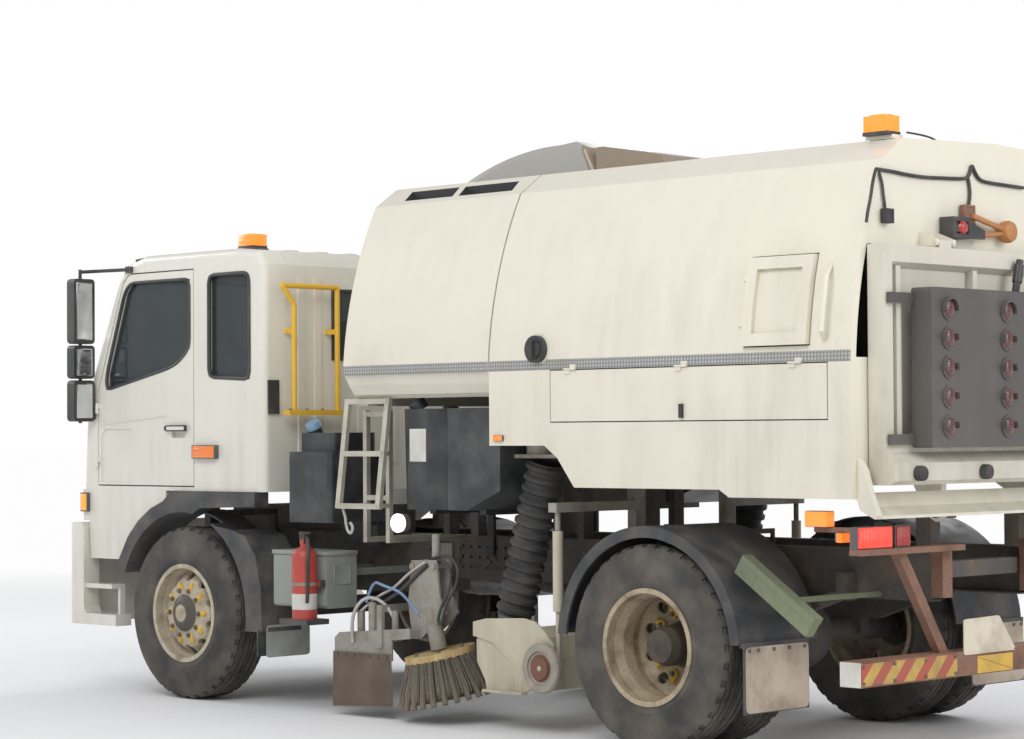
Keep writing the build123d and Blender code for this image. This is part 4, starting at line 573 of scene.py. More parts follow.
def turn_to(way):
    """The turn that brings +Z to this way."""
    return Vector(way).to_track_quat("Z", "Y")


def apply_all(piece, name):
    """Applies the piece's modifiers and puts its place into its mesh."""
    clear_choice()
    piece.select_set(True)
    bpy.context.view_layer.objects.active = piece
    for modifier in list(piece.modifiers):
        bpy.ops.object.modifier_apply(modifier=modifier.name)
    place_into_mesh()
    piece.name = name
    piece.data.name = name
    return piece


def finish_piece(piece, name, body, finish, angle=35):
    """Settles a piece: modifiers applied, smooth where it should be, finished and riding on its body."""
    apply_all(piece, name)
    bpy.ops.object.shade_smooth_by_angle(angle=math.radians(angle))
    for modifier in list(piece.modifiers):
        bpy.ops.object.modifier_apply(modifier=modifier.name)
    piece.data.materials.clear()
    piece.data.materials.append(finishes[finish])
    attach(piece, body)
    return piece


def bevel(piece, width, steps=2, angle=30):
    rounding = piece.modifiers.new("rounded_edges", "BEVEL")
    rounding.width = width
    rounding.segments = steps
    rounding.limit_method = "ANGLE"
    rounding.angle_limit = math.radians(angle)


def facing(face):
    """A test for the faces that look along an axis, such as "+y" or "-x"."""
    letter, sign = "xyz".index(face[1]), (1 if face[0] == "+" else -1)
    return lambda middle, normal: normal[letter] * sign > 0.9


def pick_faces(piece, test):
    """In edit mode, selects the faces whose middle and normal pass the test."""
    bpy.ops.object.mode_set(mode="EDIT")
    bpy.ops.mesh.select_mode(type="FACE")
    bpy.ops.mesh.select_all(action="DESELECT")
    net = bmesh.from_edit_mesh(piece.data)
    for face in net.faces:
        face.select_set(bool(test(face.calc_center_median(), face.normal)))
    bmesh.update_edit_mesh(piece.data)


def leave_edit():
    bpy.ops.object.mode_set(mode="OBJECT")


def panel_in(piece, test, border, depth, each=False):
    """Insets the picked faces by a border and presses them in, or out where depth is negative."""
    pick_faces(piece, test)
    bpy.ops.mesh.inset(thickness=border, depth=0, use_individual=each)
    bpy.ops.mesh.extrude_region_shrink_fatten(TRANSFORM_OT_shrink_fatten={"value": -depth})
    leave_edit()


def cushion(low, high, round_by, face, border, depth, steps=2):
    """A box with one face pressed in, or raised where the depth is negative, and its edges rounded."""
    clear_choice()
    bpy.ops.mesh.primitive_cube_add(size=1, location=[(a + b) / 2 for a, b in zip(low, high)])
    piece = bpy.context.object
    piece.scale = [abs(b - a) for a, b in zip(low, high)]
    place_into_mesh()
    panel_in(piece, facing(face), border, depth)
    bevel(piece, round_by, steps)
    return piece


def rod(a, b, radius, corners=20):
    """A round bar between two points, its ends eased."""
    clear_choice()
    a, b = Vector(a), Vector(b)
    long = (b - a).length
    bpy.ops.mesh.primitive_cylinder_add(vertices=corners, radius=radius, depth=long, location=(a + b) / 2)
    piece = bpy.context.object
    piece.rotation_euler = turn_to(b - a).to_euler()
    place_into_mesh()
    bevel(piece, min(radius * 0.18, long * 0.2), 2, 50)
    return piece


def turned(profile, centre, axis, steps=48):
    """A turned piece: (radius, height) points drawn by extruding one vertex, then spun about the axis."""
    clear_choice()
    bpy.ops.mesh.primitive_plane_add(size=0.01, location=(0, 0, 0))
    piece = bpy.context.object
    bpy.ops.object.mode_set(mode="EDIT")
    bpy.ops.mesh.select_mode(type="VERT")
    bpy.ops.mesh.select_all(action="SELECT")
    bpy.ops.mesh.merge(type="CENTER")
    here = Vector((profile[0][0], 0, profile[0][1]))
    bpy.ops.transform.translate(value=here)
    for radius, height in profile[1:]:
        there = Vector((radius, 0, height))
        bpy.ops.mesh.extrude_region_move(TRANSFORM_OT_translate={"value": there - here})
        here = there
    bpy.ops.mesh.select_all(action="SELECT")
    bpy.ops.mesh.spin(steps=steps, angle=2 * math.pi, center=(0, 0, 0), axis=(0, 0, 1))
    bpy.ops.mesh.select_all(action="SELECT")
    bpy.ops.mesh.remove_doubles(threshold=0.00005)
    bpy.ops.mesh.normals_make_consistent(inside=False)
    leave_edit()
    piece.rotation_euler = turn_to(axis).to_euler()
    piece.location = centre
    place_into_mesh()
    return piece


def outline_plate(points, thick, flat, at):
    """A plate cut to an outline and given its thickness: the points are seen from the side or the back."""
    clear_choice()
    from_side = flat == "XZ"
    bpy.ops.mesh.primitive_circle_add(vertices=len(points), radius=1, fill_type="NGON")
    piece = bpy.context.object
    for corner, (across_it, z) in zip(piece.data.vertices, points):
        corner.co = (across_it, at, z) if from_side else (at, across_it, z)
    bpy.ops.object.mode_set(mode="EDIT")
    bpy.ops.mesh.select_all(action="SELECT")
    push = (0, thick, 0) if from_side else (thick, 0, 0)
    bpy.ops.mesh.extrude_region_move(TRANSFORM_OT_translate={"value": push})
    bpy.ops.mesh.select_all(action="SELECT")
    bpy.ops.mesh.normals_make_consistent(inside=False)
    leave_edit()
    return piece


def tube_along(points, radius, smooth=True, closed=False, ring_steps=3):
    """A tube along a line of points, smooth or with straight runs, made a mesh."""
    clear_choice()
    line = bpy.data.curves.new("tube_line", "CURVE")
    line.dimensions = "3D"
    line.bevel_depth = radius
    line.bevel_resolution = ring_steps
    line.use_fill_caps = not closed
    line.resolution_u = 10
    spline = line.splines.new("NURBS" if smooth else "POLY")
    spline.points.add(len(points) - 1)
    for point, place in zip(spline.points, points):
        point.co = (*place, 1.0)
    if smooth:
        spline.order_u = 3
        spline.use_endpoint_u = not closed
    spline.use_cyclic_u = closed
    piece = bpy.data.objects.new("tube", line)
    bpy.context.scene.collection.objects.link(piece)
    piece.select_set(True)
    bpy.context.view_layer.objects.active = piece
    bpy.ops.object.convert(target="MESH")
    return bpy.context.object


def copy_of(piece, move=(0, 0, 0), turn=None, about=(0, 0, 0)):
    """A copy with its own mesh, turned about a point by a matrix and moved."""
    twin = piece.copy()
    twin.data = piece.data.copy()
    bpy.context.scene.collection.objects.link(twin)
    spin = turn or Matrix.Identity(3)
    about = Vector(about)
    place = Matrix.Translation(Vector(move) + about) @ spin.to_4x4() @ Matrix.Translation(-about)
    twin.data.transform(place)
    if spin.determinant() < 0:
        twin.data.flip_normals()
    return twin


def one_piece(pieces):
    """Joins pieces of one finish and one body."""
    clear_choice()
    for piece in pieces:
        for modifier in list(piece.modifiers):
            bpy.context.view_layer.objects.active = piece
            piece.select_set(True)
            bpy.ops.object.modifier_apply(modifier=modifier.name)
            piece.select_set(False)
    for piece in pieces:
        piece.select_set(True)
    bpy.context.view_layer.objects.active = pieces[0]
    if len(pieces) > 1:
        bpy.ops.object.join()
    return bpy.context.object


def settle(piece, name, body, finish, both=True, angle=35):
    """Finishes a piece on the left side, and its mirror copy on the right where it has one."""
    apply_all(piece, name)
    if not both:
        return [finish_piece(piece, name, body, finish, angle)]
    pair = (piece, copy_of(piece, turn=Matrix.Diagonal((1, -1, 1))))
    return [finish_piece(one, name + "_" + word, body.replace("*", word), finish, angle)
            for one, (side, word) in zip(pair, sides)]


def rounded(points, cut):
    """An outline with each corner cut in two steps, for a seal that follows it."""
    out = []
    for index, corner in enumerate(points):
        before = Vector(points[index - 1])
        here = Vector(corner)
        after = Vector(points[(index + 1) % len(points)])
        a = here + (before - here).normalized() * min(cut, (before - here).length * 0.45)
        b = here + (after - here).normalized() * min(cut, (after - here).length * 0.45)
        middle = (a + b) / 2 * 0.5 + here * 0.5
        push = (here - middle) * 0.08
        out += [tuple(p) for p in (a, (a + middle) / 2 + push, middle, (b + middle) / 2 + push, b)]
    return out


def rectangle(low, high):
    """The four corners of a rectangle, from two of them."""
    return [low, (high[0], low[1]), high, (low[0], high[1])]


def round_plate(outline, cut, thick, flat, at, border, depth, face="-x"):
    """A plate with rounded corners and a field pressed into one face."""
    piece = outline_plate(rounded(outline, cut), thick, flat, at)
    panel_in(piece, facing(face), border, depth)
    bevel(piece, 0.0012, 1, 40)
    return piece


def bolts(name, places, way, body, size=0.010, height=0.008, both=True):
    """Bolt heads: a hexagon on a washer, its top pressed in a little, copied to each place."""
    clear_choice()
    bpy.ops.mesh.primitive_cylinder_add(vertices=6, radius=size, depth=height, location=(0, 0, height / 2))
    first = bpy.context.object
    place_into_mesh()
    panel_in(first, facing("+z"), size * 0.25, height * 0.15)
    panel_in(first, facing("-z"), size * 0.02, -height * 0.1)
    bevel(first, size * 0.1, 1, 40)
    apply_all(first, "bolt")
    first.data.transform(turn_to(Vector(way).normalized()).to_matrix().to_4x4())
    heads = [copy_of(first, move=place) for place in places]
    bpy.data.objects.remove(first)
    settle(one_piece(heads), name, body, "cast_iron", both)


def band(a, b, radius, thick=0.003):
    """A clamp band round a hose or rod: a ring with turned-in edges."""
    a, b = Vector(a), Vector(b)
    wide = (b - a).length
    profile = [(radius, 0), (radius + thick, 0.001), (radius + thick, wide * 0.3),
               (radius + thick * 0.6, wide * 0.5), (radius + thick, wide * 0.7),
               (radius + thick, wide - 0.001), (radius, wide), (radius, 0)]
    return turned(profile, a, b - a, 32)


# ---------------------------------------------------------------- wheels

# tyre, what its nuts' names start with, body, axle, middles of its tyres, radius of the
# nuts' circle, where the nuts are seated, middle and length of their pointers
wheels = (
    ("front_tyre_", "front_", "front_wheel_", front_axle, (1.020,), 0.140, 1.116, 1.127, 0.040),
    ("rear_tyres_", "rear_", "rear_wheels_", rear_axle, (1.078, 0.748), 0.160, 0.927, 0.940, 0.036),
)
nut_count = 10


def moulded_tyre():
    """A truck tyre: crown with grooves, shoulder lugs, sipes, and ribs on its sidewalls."""
    half, crown, bead, steps = 0.139, axle_height, 0.286, 72
    top = [(bead, half - 0.026), (bead + 0.012, half - 0.012), (bead + 0.045, half - 0.004),
           (bead + 0.052, half - 0.0075), (bead + 0.110, half), (bead + 0.116, half - 0.003),
           (crown - 0.062, half - 0.005), (crown - 0.045, half - 0.008), (crown - 0.020, half - 0.016),
           (crown - 0.003, half - 0.033)]
    for groove in (0.092, 0.052, 0.012):
        top += [(crown - 0.0005, groove + 0.0055), (crown - 0.013, groove + 0.004),
                (crown - 0.013, groove - 0.004), (crown - 0.0005, groove - 0.0055)]
    piece = turned(top + [(r, -h) for r, h in reversed(top)], (0, 0, 0), (0, 0, 1), steps)

    def every(count, middle):
        """True for one in this many of the steps round the tyre."""
        return int(math.floor(math.atan2(middle.y, middle.x) / (2 * math.pi) * steps)) % count == 0

    def lug_gap(middle, normal):
        return math.hypot(middle.x, middle.y) > crown - 0.028 and abs(middle.z) > 0.094 and every(2, middle)

    def sipe(middle, normal):
        outward = normal.x * middle.x + normal.y * middle.y > 0
        on_crown = math.hypot(middle.x, middle.y) > crown - 0.003 and abs(middle.z) < 0.086
        return on_crown and outward and every(3, middle)

    panel_in(piece, lug_gap, 0.004, 0.010)
    panel_in(piece, sipe, 0.012, 0.006, each=True)
    piece.rotation_euler = turn_to((0, 1, 0)).to_euler()
    piece.location = (0, 0, axle_height)
    return piece


def wheel_nut(place, outward):
    """A hex nut on its washer over the stud's end."""
    size, high = 0.0165, 0.03
    clear_choice()
    way = Vector((0, outward, 0))
    bpy.ops.mesh.primitive_cylinder_add(vertices=6, radius=size, depth=high,
                                        location=Vector(place) + way * high / 2)
    piece = bpy.context.object
    piece.rotation_euler = turn_to(way).to_euler()
    place_into_mesh()
    panel_in(piece, facing("+y" if outward > 0 else "-y"), 0.004, -0.012)
    panel_in(piece, facing("-y" if outward > 0 else "+y"), 0.001, -0.001)
    bevel(piece, 0.0016, 1, 40)
    return piece


def nut_pointer(x, y, outward, length):
    """A yellow pointer that rings a nut and runs out to a point beside it."""
    ring_radius, thick, tip = 0.023, 0.016, 0.006
    turns = [math.radians(50 + 26 * step) for step in range(11)]
    outline = [(x + ring_radius * math.cos(t), axle_height + ring_radius * math.sin(t)) for t in turns]
    outline += [(x + length + 0.012, axle_height - tip), (x + length + 0.012, axle_height + tip)]
    pointer = outline_plate(outline, thick, "XZ", outward * y - thick / 2)
    panel_in(pointer, facing("+y" if outward > 0 else "-y"), 0.006, -0.006)
    bevel(pointer, 0.002, 1)
    return pointer


def dress_wheels():
    tyre = apply_all(moulded_tyre(), "tyre_pattern")
    for side, word in sides:
        for group, _, body, x, rows, *_ in wheels:
            both = one_piece([copy_of(tyre, move=(x, side * y, 0)) for y in rows])
            finish_piece(both, group + "moulded_" + word, body + word, "tyre_rubber", 40)
            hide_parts(group + word)
    bpy.data.objects.remove(tyre)
    spins = [Matrix.Rotation(math.tau * index / nut_count, 3, "Y") for index in range(1, nut_count)]
    for side, word in sides:
        for _, start, body, x, _, circle, y, *_ in wheels:
            first = wheel_nut((x + circle, side * y, axle_height), side)
            nuts = [first] + [copy_of(first, turn=spin, about=(x, 0, axle_height)) for spin in spins]
            finish_piece(one_piece(nuts), start + "nuts_" + word, body + word, "cast_iron")
    for side, word in sides:
        for _, start, body, x, _, circle, _, y, length in wheels:
            pointer = nut_pointer(x + circle, y, side, length)
            pointers = [pointer]
            for index, spin in enumerate(spins, 1):
                lean = Matrix.Rotation(math.radians((7 * index) % 23 - 9), 3, "Y")
                twist = copy_of(pointer, turn=lean, about=(x + circle, side * y, axle_height))
                pointers.append(copy_of(twist, turn=spin, about=(x, 0, axle_height)))
                bpy.data.objects.remove(twist)
            finish_piece(one_piece(pointers), start + "nut_pointers_" + word, body + word, "pointer_yellow")


# ---------------------------------------------------------------- body trim

def body_skin(z):
    """Half the body's width at a height on its curved side: an arc through three points."""
    (ay, az), (by, bz), (cy, cz) = (1.200, 1.950), (1.110, 2.480), (0.943, 2.900)
    scale = 2 * (ay * (bz - cz) + by * (cz - az) + cy * (az - bz))
    a, b, c = (y * y + z0 * z0 for y, z0 in ((ay, az), (by, bz), (cy, cz)))
    centre_y = (a * (bz - cz) + b * (cz - az) + c * (az - bz)) / scale
    centre_z = (a * (cy - by) + b * (ay - cy) + c * (by - ay)) / scale
    radius = math.hypot(ay - centre_y, az - centre_z)
    return centre_y + math.sqrt(radius ** 2 - (z - centre_z) ** 2)


def reflective_strips():
    """Grey ribbed strips along both sides of the pod and the hopper, over the fold of the skin."""
    section = [(1.200, 1.930), (1.2035, 1.934), (1.2035, 1.950), (body_skin(1.985) + 0.0035, 1.981),
               (body_skin(1.985), 1.985), (1.192, 1.960)]
    for side, word in sides:
        for name, low, high, body in (("hopper_strip_", -1.288, 1.118, "hopper"),
                                      ("pod_strip_", 1.134, 2.291, "truck")):
            strip = outline_plate([(side * y, z) for y, z in section], high - low, "YZ", rear(low))
            finish_piece(strip, name + word, body, "strip_grey")


def seal(points, radius, name, body, ring_steps=3):
    """A rubber seal round a window."""
    ring = tube_along(points, radius, smooth=False, closed=True, ring_steps=ring_steps)
    finish_piece(ring, name, body, "black_plastic", 60)


def cab_seals():
    window = ((-0.060, 2.130), (0.060, 2.040), (0.160, 2.008), (0.790, 1.885), (0.785, 1.990),
              (0.600, 2.490), (0.540, 2.552), (-0.060, 2.552))
    quarter = ((-0.628, 1.930), (-0.241, 1.950), (-0.241, 2.565), (-0.600, 2.565), (-0.628, 2.530))
    for side, word in sides:
        for outline, radius, name, body in ((window, 0.011, "door_window_seal_", "cab_door_" + word),
                                            (quarter, 0.013, "quarter_window_seal_", "truck")):
            line = rounded([(front(x), z) for x, z in outline], 0.05)
            seal([(x, side * 1.136, z) for x, z in line], radius, name + word, body, 2)


# ---------------------------------------------------------------- small parts

# name, body, finish, on both sides; where X is measured from, low corner, high corner,
# rounding, the face that is pressed in, its border and its depth
small_boxes = (
    ("corner_lamp_lens", "truck", "amber_lens", True,
     front, (0.966, 1.150, 1.128), (1.024, 1.1685, 1.232), 0.004, "+y", 0.008, -0.002),
    ("side_lamp_lens", "truck", "orange_lens", True,
     front, (-0.329, 1.160, 1.464), (-0.121, 1.1765, 1.534), 0.005, "+y", 0.012, -0.002),
    ("tail_lamp_lens", "truck", "red_glow", True,
     rear, (-1.307, 0.912, 1.050), (-1.296, 1.170, 1.146), 0.005, "-x", 0.010, 0.002),
    ("tail_lamp_inner", "truck", "red_lens", True,
     rear, (-1.306, 0.766, 1.052), (-1.296, 0.874, 1.144), 0.005, "-x", 0.008, 0.002),
    ("tail_side_lens", "truck", "amber_glow", True,
     rear, (-1.108, 1.100, 1.148), (-0.978, 1.1635, 1.219), 0.006, "+y", 0.008, -0.002),
    ("marker_lens", "truck", "orange_glow", True,
     rear, (-1.183, 1.042, 1.074), (-1.150, 1.1425, 1.118), 0.005, "-x", 0.006, 0.002),
    ("side_marker_lens", "hopper", "orange_glow", True,
     rear, (1.012, 1.2055, 1.562), (1.078, 1.2165, 1.588), 0.003, "+y", 0.005, 0.001),
    ("cab_beacon_lens", "truck", "amber_bright", False,
     front, (-0.357, 0.778, 2.750), (-0.223, 0.892, 2.8225), 0.008, "+z", 0.010, 0.002),
    ("cab_beacon_foot", "truck", "black_plastic", False,
     front, (-0.359, 0.776, 2.7165), (-0.221, 0.894, 2.7520), 0.004, "+z", 0.010, 0.002),
    ("head_lamp_lens", "truck", "clear_lens", True,
     front, (1.130, 0.703, 0.703), (1.1497, 0.997, 0.857), 0.008, "+x", 0.014, 0.004),
    ("mirror_main_glass", "truck", "mirror_glass", True,
     front, (0.8775, 1.180, 2.205), (0.8835, 1.300, 2.565), 0.002, "-x", 0.006, 0.001),
    ("mirror_wide_glass", "truck", "mirror_glass", True,
     front, (0.8775, 1.180, 1.980), (0.8835, 1.300, 2.150), 0.002, "-x", 0.006, 0.001),
    ("mirror_low_glass", "truck", "mirror_glass", True,
     front, (0.8775, 1.180, 1.712), (0.8835, 1.300, 1.928), 0.002, "-x", 0.006, 0.001),
    ("door_grip", "cab_door_*", "black_plastic", True,
     front, (-0.040, 1.1505, 1.624), (0.150, 1.1685, 1.662), 0.007, "+y", 0.008, 0.003),
    ("door_lock_plate", "cab_door_*", "black_plastic", True,
     front, (0.160, 1.139, 1.630), (0.196, 1.1425, 1.656), 0.0015, "+y", 0.006, 0.001),
    ("locker_latch", "locker_door_*", "black_plastic", True,
     rear, (-0.252, 1.200, 1.672), (-0.230, 1.2165, 1.742), 0.003, "+y", 0.004, 0.002),
    ("hatch_latch_plate", "hatch", "cast_iron", False,
     rear, (-0.985, 1.128, 2.205), (-0.925, 1.1635, 2.246), 0.003, "+y", 0.006, 0.002),
    ("hatch_latch_bar", "hatch", "cast_iron", False,
     rear, (-0.962, 1.150, 2.214), (-0.862, 1.172, 2.228), 0.003, "+y", 0.004, 0.001),
    ("battery_lid", "truck", "green_grey", False,
     rear, (2.512, 0.897, 0.905), (2.998, 1.138, 0.928), 0.006, "+z", 0.020, 0.004),
    ("battery_latch", "truck", "black_plastic", False,
     rear, (2.720, 1.126, 0.850), (2.764, 1.1405, 0.918), 0.003, "+y", 0.006, 0.002),
    ("battery_grip", "truck", "black_plastic", False,
     rear, (2.690, 1.126, 0.735), (2.800, 1.1395, 0.762), 0.004, "+y", 0.006, 0.002),
    ("battery_rear_plate", "truck", "green_grey", False,
     rear, (2.5165, 0.945, 0.735), (2.521, 1.075, 0.850), 0.001, "-x", 0.006, 0.0015),
    ("tank_plate", "truck", "label_pale", True,
     rear, (1.738, 1.0795, 1.446), (1.868, 1.0835, 1.628), 0.001, "+y", 0.010, 0.0005),
    ("step_tread_low", "truck", "ladder_metal", False,
     rear, (2.030, 1.150, 1.2015), (2.338, 1.205, 1.2065), 0.001, "+z", 0.006, 0.002),
    ("roof_beacon_base", "hopper", "body_paint", True,
     rear, (-1.235, 0.6985, 3.0156), (-1.065, 0.7745, 3.0360), 0.004, "+z", 0.012, 0.002),
    ("roof_beacon_foot", "hopper", "black_plastic", True,
     rear, (-1.225, 0.702, 3.0330), (-1.075, 0.810, 3.052), 0.004, "+z", 0.010, 0.003),
    ("tail_bar_ends", "truck", "label_pale", True,
     rear, (-1.332, 1.1995, 0.402), (-1.212, 1.2045, 0.518), 0.0015, "+y", 0.008, 0.001),
    ("camera_post", "hopper", "rust_paint", False,
     rear, (-1.3295, 0.228, 2.610), (-1.2975, 0.318, 2.715), 0.006, "-x", 0.012, 0.006),
    ("edge_fitting", "hopper", "hose_rubber", False,
     rear, (-1.3315, 0.905, 2.590), (-1.2955, 0.965, 2.660), 0.006, "-x", 0.010, 0.004),
    ("extinguisher_valve", "truck", "black_plastic", False,
     rear, (2.588, 1.200, 0.975), (2.632, 1.240, 1.030), 0.006, "+y", 0.008, 0.003),
    ("extinguisher_lever", "truck", "black_plastic", False,
     rear, (2.560, 1.212, 1.030), (2.650, 1.228, 1.042), 0.003, "+z", 0.004, 0.002),
)

buffer_cap = ((0.0005, 0.012), (0.026, 0.012), (0.034, 0.008), (0.0365, -0.002), (0.0365, -0.030),
              (0.034, -0.032), (0.0005, -0.032))
fuel_low, fuel_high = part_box("fuel_tank")
# name, body, finish, on both sides; middle, axis, steps, then (radius, height) points
turned_parts = (
    ("buffer_cap_0", "rear_door", "hose_rubber", True,
     (rear(-1.480), 0.360, 1.400), (-1, 0, 0), 32, buffer_cap),
    ("buffer_cap_1", "rear_door", "hose_rubber", True,
     (rear(-1.480), 0.900, 1.400), (-1, 0, 0), 32, buffer_cap),
    ("camera_eye", "hopper", "red_lens", False, (rear(-1.3795), 0.405, 2.592), (-1, 0, 0), 32,
     ((0.0005, 0.014), (0.018, 0.013), (0.024, 0.010), (0.030, 0.004), (0.034, -0.006), (0.0005, -0.008))),
    ("camera_knuckle", "hopper", "rust_orange", False, (rear(-1.3375), -0.034, 2.596), (-1, 0, 0), 32,
     ((0.0005, 0.034), (0.034, 0.034), (0.048, 0.028), (0.056, 0.010), (0.056, -0.012), (0.050, -0.030),
      (0.0005, -0.034))),
    ("fuel_cap", "truck", "black_plastic", False,
     (rear(2.800), fuel_low[1] + 0.110, fuel_high[2]), (0, 0, 1), 32,
     ((0.0005, 0.030), (0.030, 0.030), (0.046, 0.024), (0.050, 0.004), (0.052, -0.010), (0.0005, -0.010))),
    ("urea_cap", "truck", "urea_blue", False, (rear(2.790), 1.000, 1.665), (0, 0.524, 0.852), 32,
     ((0.0005, 0.012), (0.030, 0.012), (0.044, 0.006), (0.0465, -0.010), (0.0465, -0.030), (0.0005, -0.030))),
    ("extinguisher_shoulder", "truck", "red_paint", False, (rear(2.610), 1.220, 0.900), (0, 0, 1), 40,
     ((0.0728, -0.012), (0.0732, 0.0), (0.070, 0.020), (0.060, 0.038), (0.044, 0.050), (0.027, 0.056),
      (0.0245, 0.058), (0.020, 0.050), (0.0725, -0.012))),
    ("work_light_face", "truck", "white_glow", False, (rear(2.000), 1.0612, 1.100), (0, 1, 0), 40,
     ((0.0005, 0.006), (0.028, 0.005), (0.040, 0.002), (0.046, -0.002), (0.0505, 0.002), (0.053, -0.004),
      (0.0515, -0.020), (0.0005, -0.020))),
)

# Cables on the hopper's rear edge: name, X, radius, then (Y, Z) points.
edge_cables = (
    ("camera_cable", rear(-1.3005), 0.009,
     ((1.006, 2.845), (0.870, 2.842), (0.773, 2.834), (0.620, 2.830), (0.486, 2.836), (0.330, 2.842),
      (0.249, 2.850), (0.225, 2.895), (0.213, 2.919), (0.196, 2.890), (0.150, 2.845), (0.059, 2.839),
      (-0.090, 2.836), (-0.234, 2.833))),
    ("camera_branch", rear(-1.3005), 0.008,
     ((0.249, 2.850), (0.232, 2.800), (0.236, 2.745), (0.252, 2.700), (0.262, 2.660))),
    ("edge_cable", rear(-1.3015), 0.008,
     ((1.006, 2.845), (1.030, 2.800), (1.052, 2.700), (1.075, 2.640), (1.086, 2.588))),
    ("edge_branch", rear(-1.3005), 0.007,
     ((0.985, 2.840), (0.958, 2.790), (0.950, 2.730), (0.940, 2.690), (0.936, 2.655))),
    ("beacon_wire", rear(-1.262), 0.005,
     ((0.702, 3.046), (0.600, 3.044), (0.500, 3.036), (0.452, 3.020), (0.440, 2.965), (0.452, 2.908),
      (0.520, 2.872), (0.600, 2.852), (0.664, 2.842))),
)

# Hoses: name, body, finish, on both sides, radius, then points whose X is from the rear axle.
# Those of the brush arm lie on it and loop over it.
hoses = (
    ("ladder_hook", "truck", "hose_pale", False, 0.0085,
     ((2.330, 1.176, 1.196), (2.326, 1.172, 1.165), (2.322, 1.160, 1.130), (2.330, 1.150, 1.095),
      (2.322, 1.146, 1.055), (2.295, 1.148, 1.035), (2.270, 1.152, 1.055), (2.268, 1.156, 1.085),
      (2.285, 1.158, 1.100))),
    ("extinguisher_hose", "truck", "hose_rubber", False, 0.010,
     ((2.590, 1.220, 1.005), (2.560, 1.238, 1.010), (2.535, 1.255, 0.970), (2.532, 1.262, 0.900),
      (2.536, 1.262, 0.800), (2.540, 1.258, 0.700), (2.548, 1.255, 0.640))),
    ("brush_hose_black", "brush_arm_*", "hose_rubber", True, 0.009,
     ((1.796, 1.000, 0.897), (1.705, 1.010, 0.928), (1.599, 1.020, 0.920), (1.533, 1.030, 0.851),
      (1.558, 1.030, 0.752), (1.640, 1.030, 0.671), (1.668, 1.032, 0.560))),
    ("brush_hose_second", "brush_arm_*", "hose_rubber", True, 0.008,
     ((1.845, 1.000, 0.862), (1.721, 1.012, 0.905), (1.631, 1.036, 0.897), (1.581, 1.040, 0.828),
      (1.606, 1.038, 0.728), (1.689, 1.034, 0.625), (1.700, 1.034, 0.560))),
    ("brush_hose_white", "brush_arm_*", "hose_pale", True, 0.010,
     ((2.300, 1.128, 0.420), (2.306, 1.132, 0.500), (2.296, 1.128, 0.585), (2.255, 1.112, 0.655),
      (2.190, 1.096, 0.682), (2.110, 1.082, 0.662), (2.050, 1.070, 0.610), (2.015, 1.062, 0.550))),
    ("brush_hose_blue", "brush_arm_*", "hose_blue", True, 0.008,
     ((2.218, 1.096, 0.650), (2.167, 1.100, 0.777), (2.067, 1.100, 0.747), (1.968, 1.094, 0.728),
      (1.903, 1.080, 0.686), (1.840, 1.050, 0.600))),
    ("brush_hose_dark", "brush_arm_*", "hose_rubber", True, 0.011,
     ((2.207, 1.080, 0.594), (2.089, 1.056, 0.665), (1.978, 1.044, 0.725), (1.890, 1.036, 0.800),
      (1.780, 1.034, 0.870))),
    ("brush_hose_grey", "brush_arm_*", "hose_pale", True, 0.008,
     ((2.275, 1.085, 0.600), (2.162, 1.064, 0.685), (2.033, 1.050, 0.734), (1.922, 1.040, 0.827),
      (1.796, 1.036, 0.887))),
)


def dress_from_tables():
    for name, body, finish, both, measure, low, high, *shape in small_boxes:
        box = cushion((measure(low[0]), *low[1:]), (measure(high[0]), *high[1:]), *shape)
        settle(box, name, body, finish, both)
    for name, body, finish, both, middle, axis, steps, profile in turned_parts:
        settle(turned(profile, middle, axis, steps), name, body, finish, both)
    for name, x, radius, line in edge_cables:
        finish_piece(tube_along([(x, y, z) for y, z in line], radius), name, "hopper", "hose_rubber", 60)
    for name, body, finish, both, radius, line in hoses:
        settle(tube_along(from_rear(line), radius), name, body, finish, both, 60)


def dress_lamps():
    """The lamp board's smoked domes, and the roof beacons' ribbed amber blocks."""
    row_pitch, column_pitch, board_middle = 0.140, 0.490, 1.901
    face_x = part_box("lamp_board")[0][0] + 0.030
    profile = ((0.0005, 0.016), (0.020, 0.0145), (0.034, 0.010), (0.043, 0.003), (0.0465, -0.004),
               (0.040, -0.006), (0.0005, -0.006))
    dome = apply_all(turned(profile, (face_x - 0.008, 0, 0), (-1, 0, 0), 28), "dome")
    places = [(0, column_pitch * (column + 0.5), board_middle + row_pitch * row)
              for column in (-2, -1, 0, 1) for row in (-2, -1, 0, 1, 2)]
    domes = [copy_of(dome, move=place) for place in places]
    bpy.data.objects.remove(dome)
    finish_piece(one_piece(domes), "board_lenses", "rear_door", "smoked_lens")
    glass = cushion((rear(-1.221), 0.706, 3.050), (rear(-1.079), 0.806, 3.1295), 0.010, "+z", 0.018, 0.003, 3)
    panel_in(glass, lambda middle, normal: abs(normal.z) < 0.2, 0.010, 0.002, each=True)
    piece = settle(glass, "roof_beacon_lens", "hopper", "amber_bright")[0]
    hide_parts("hopper_beacons")


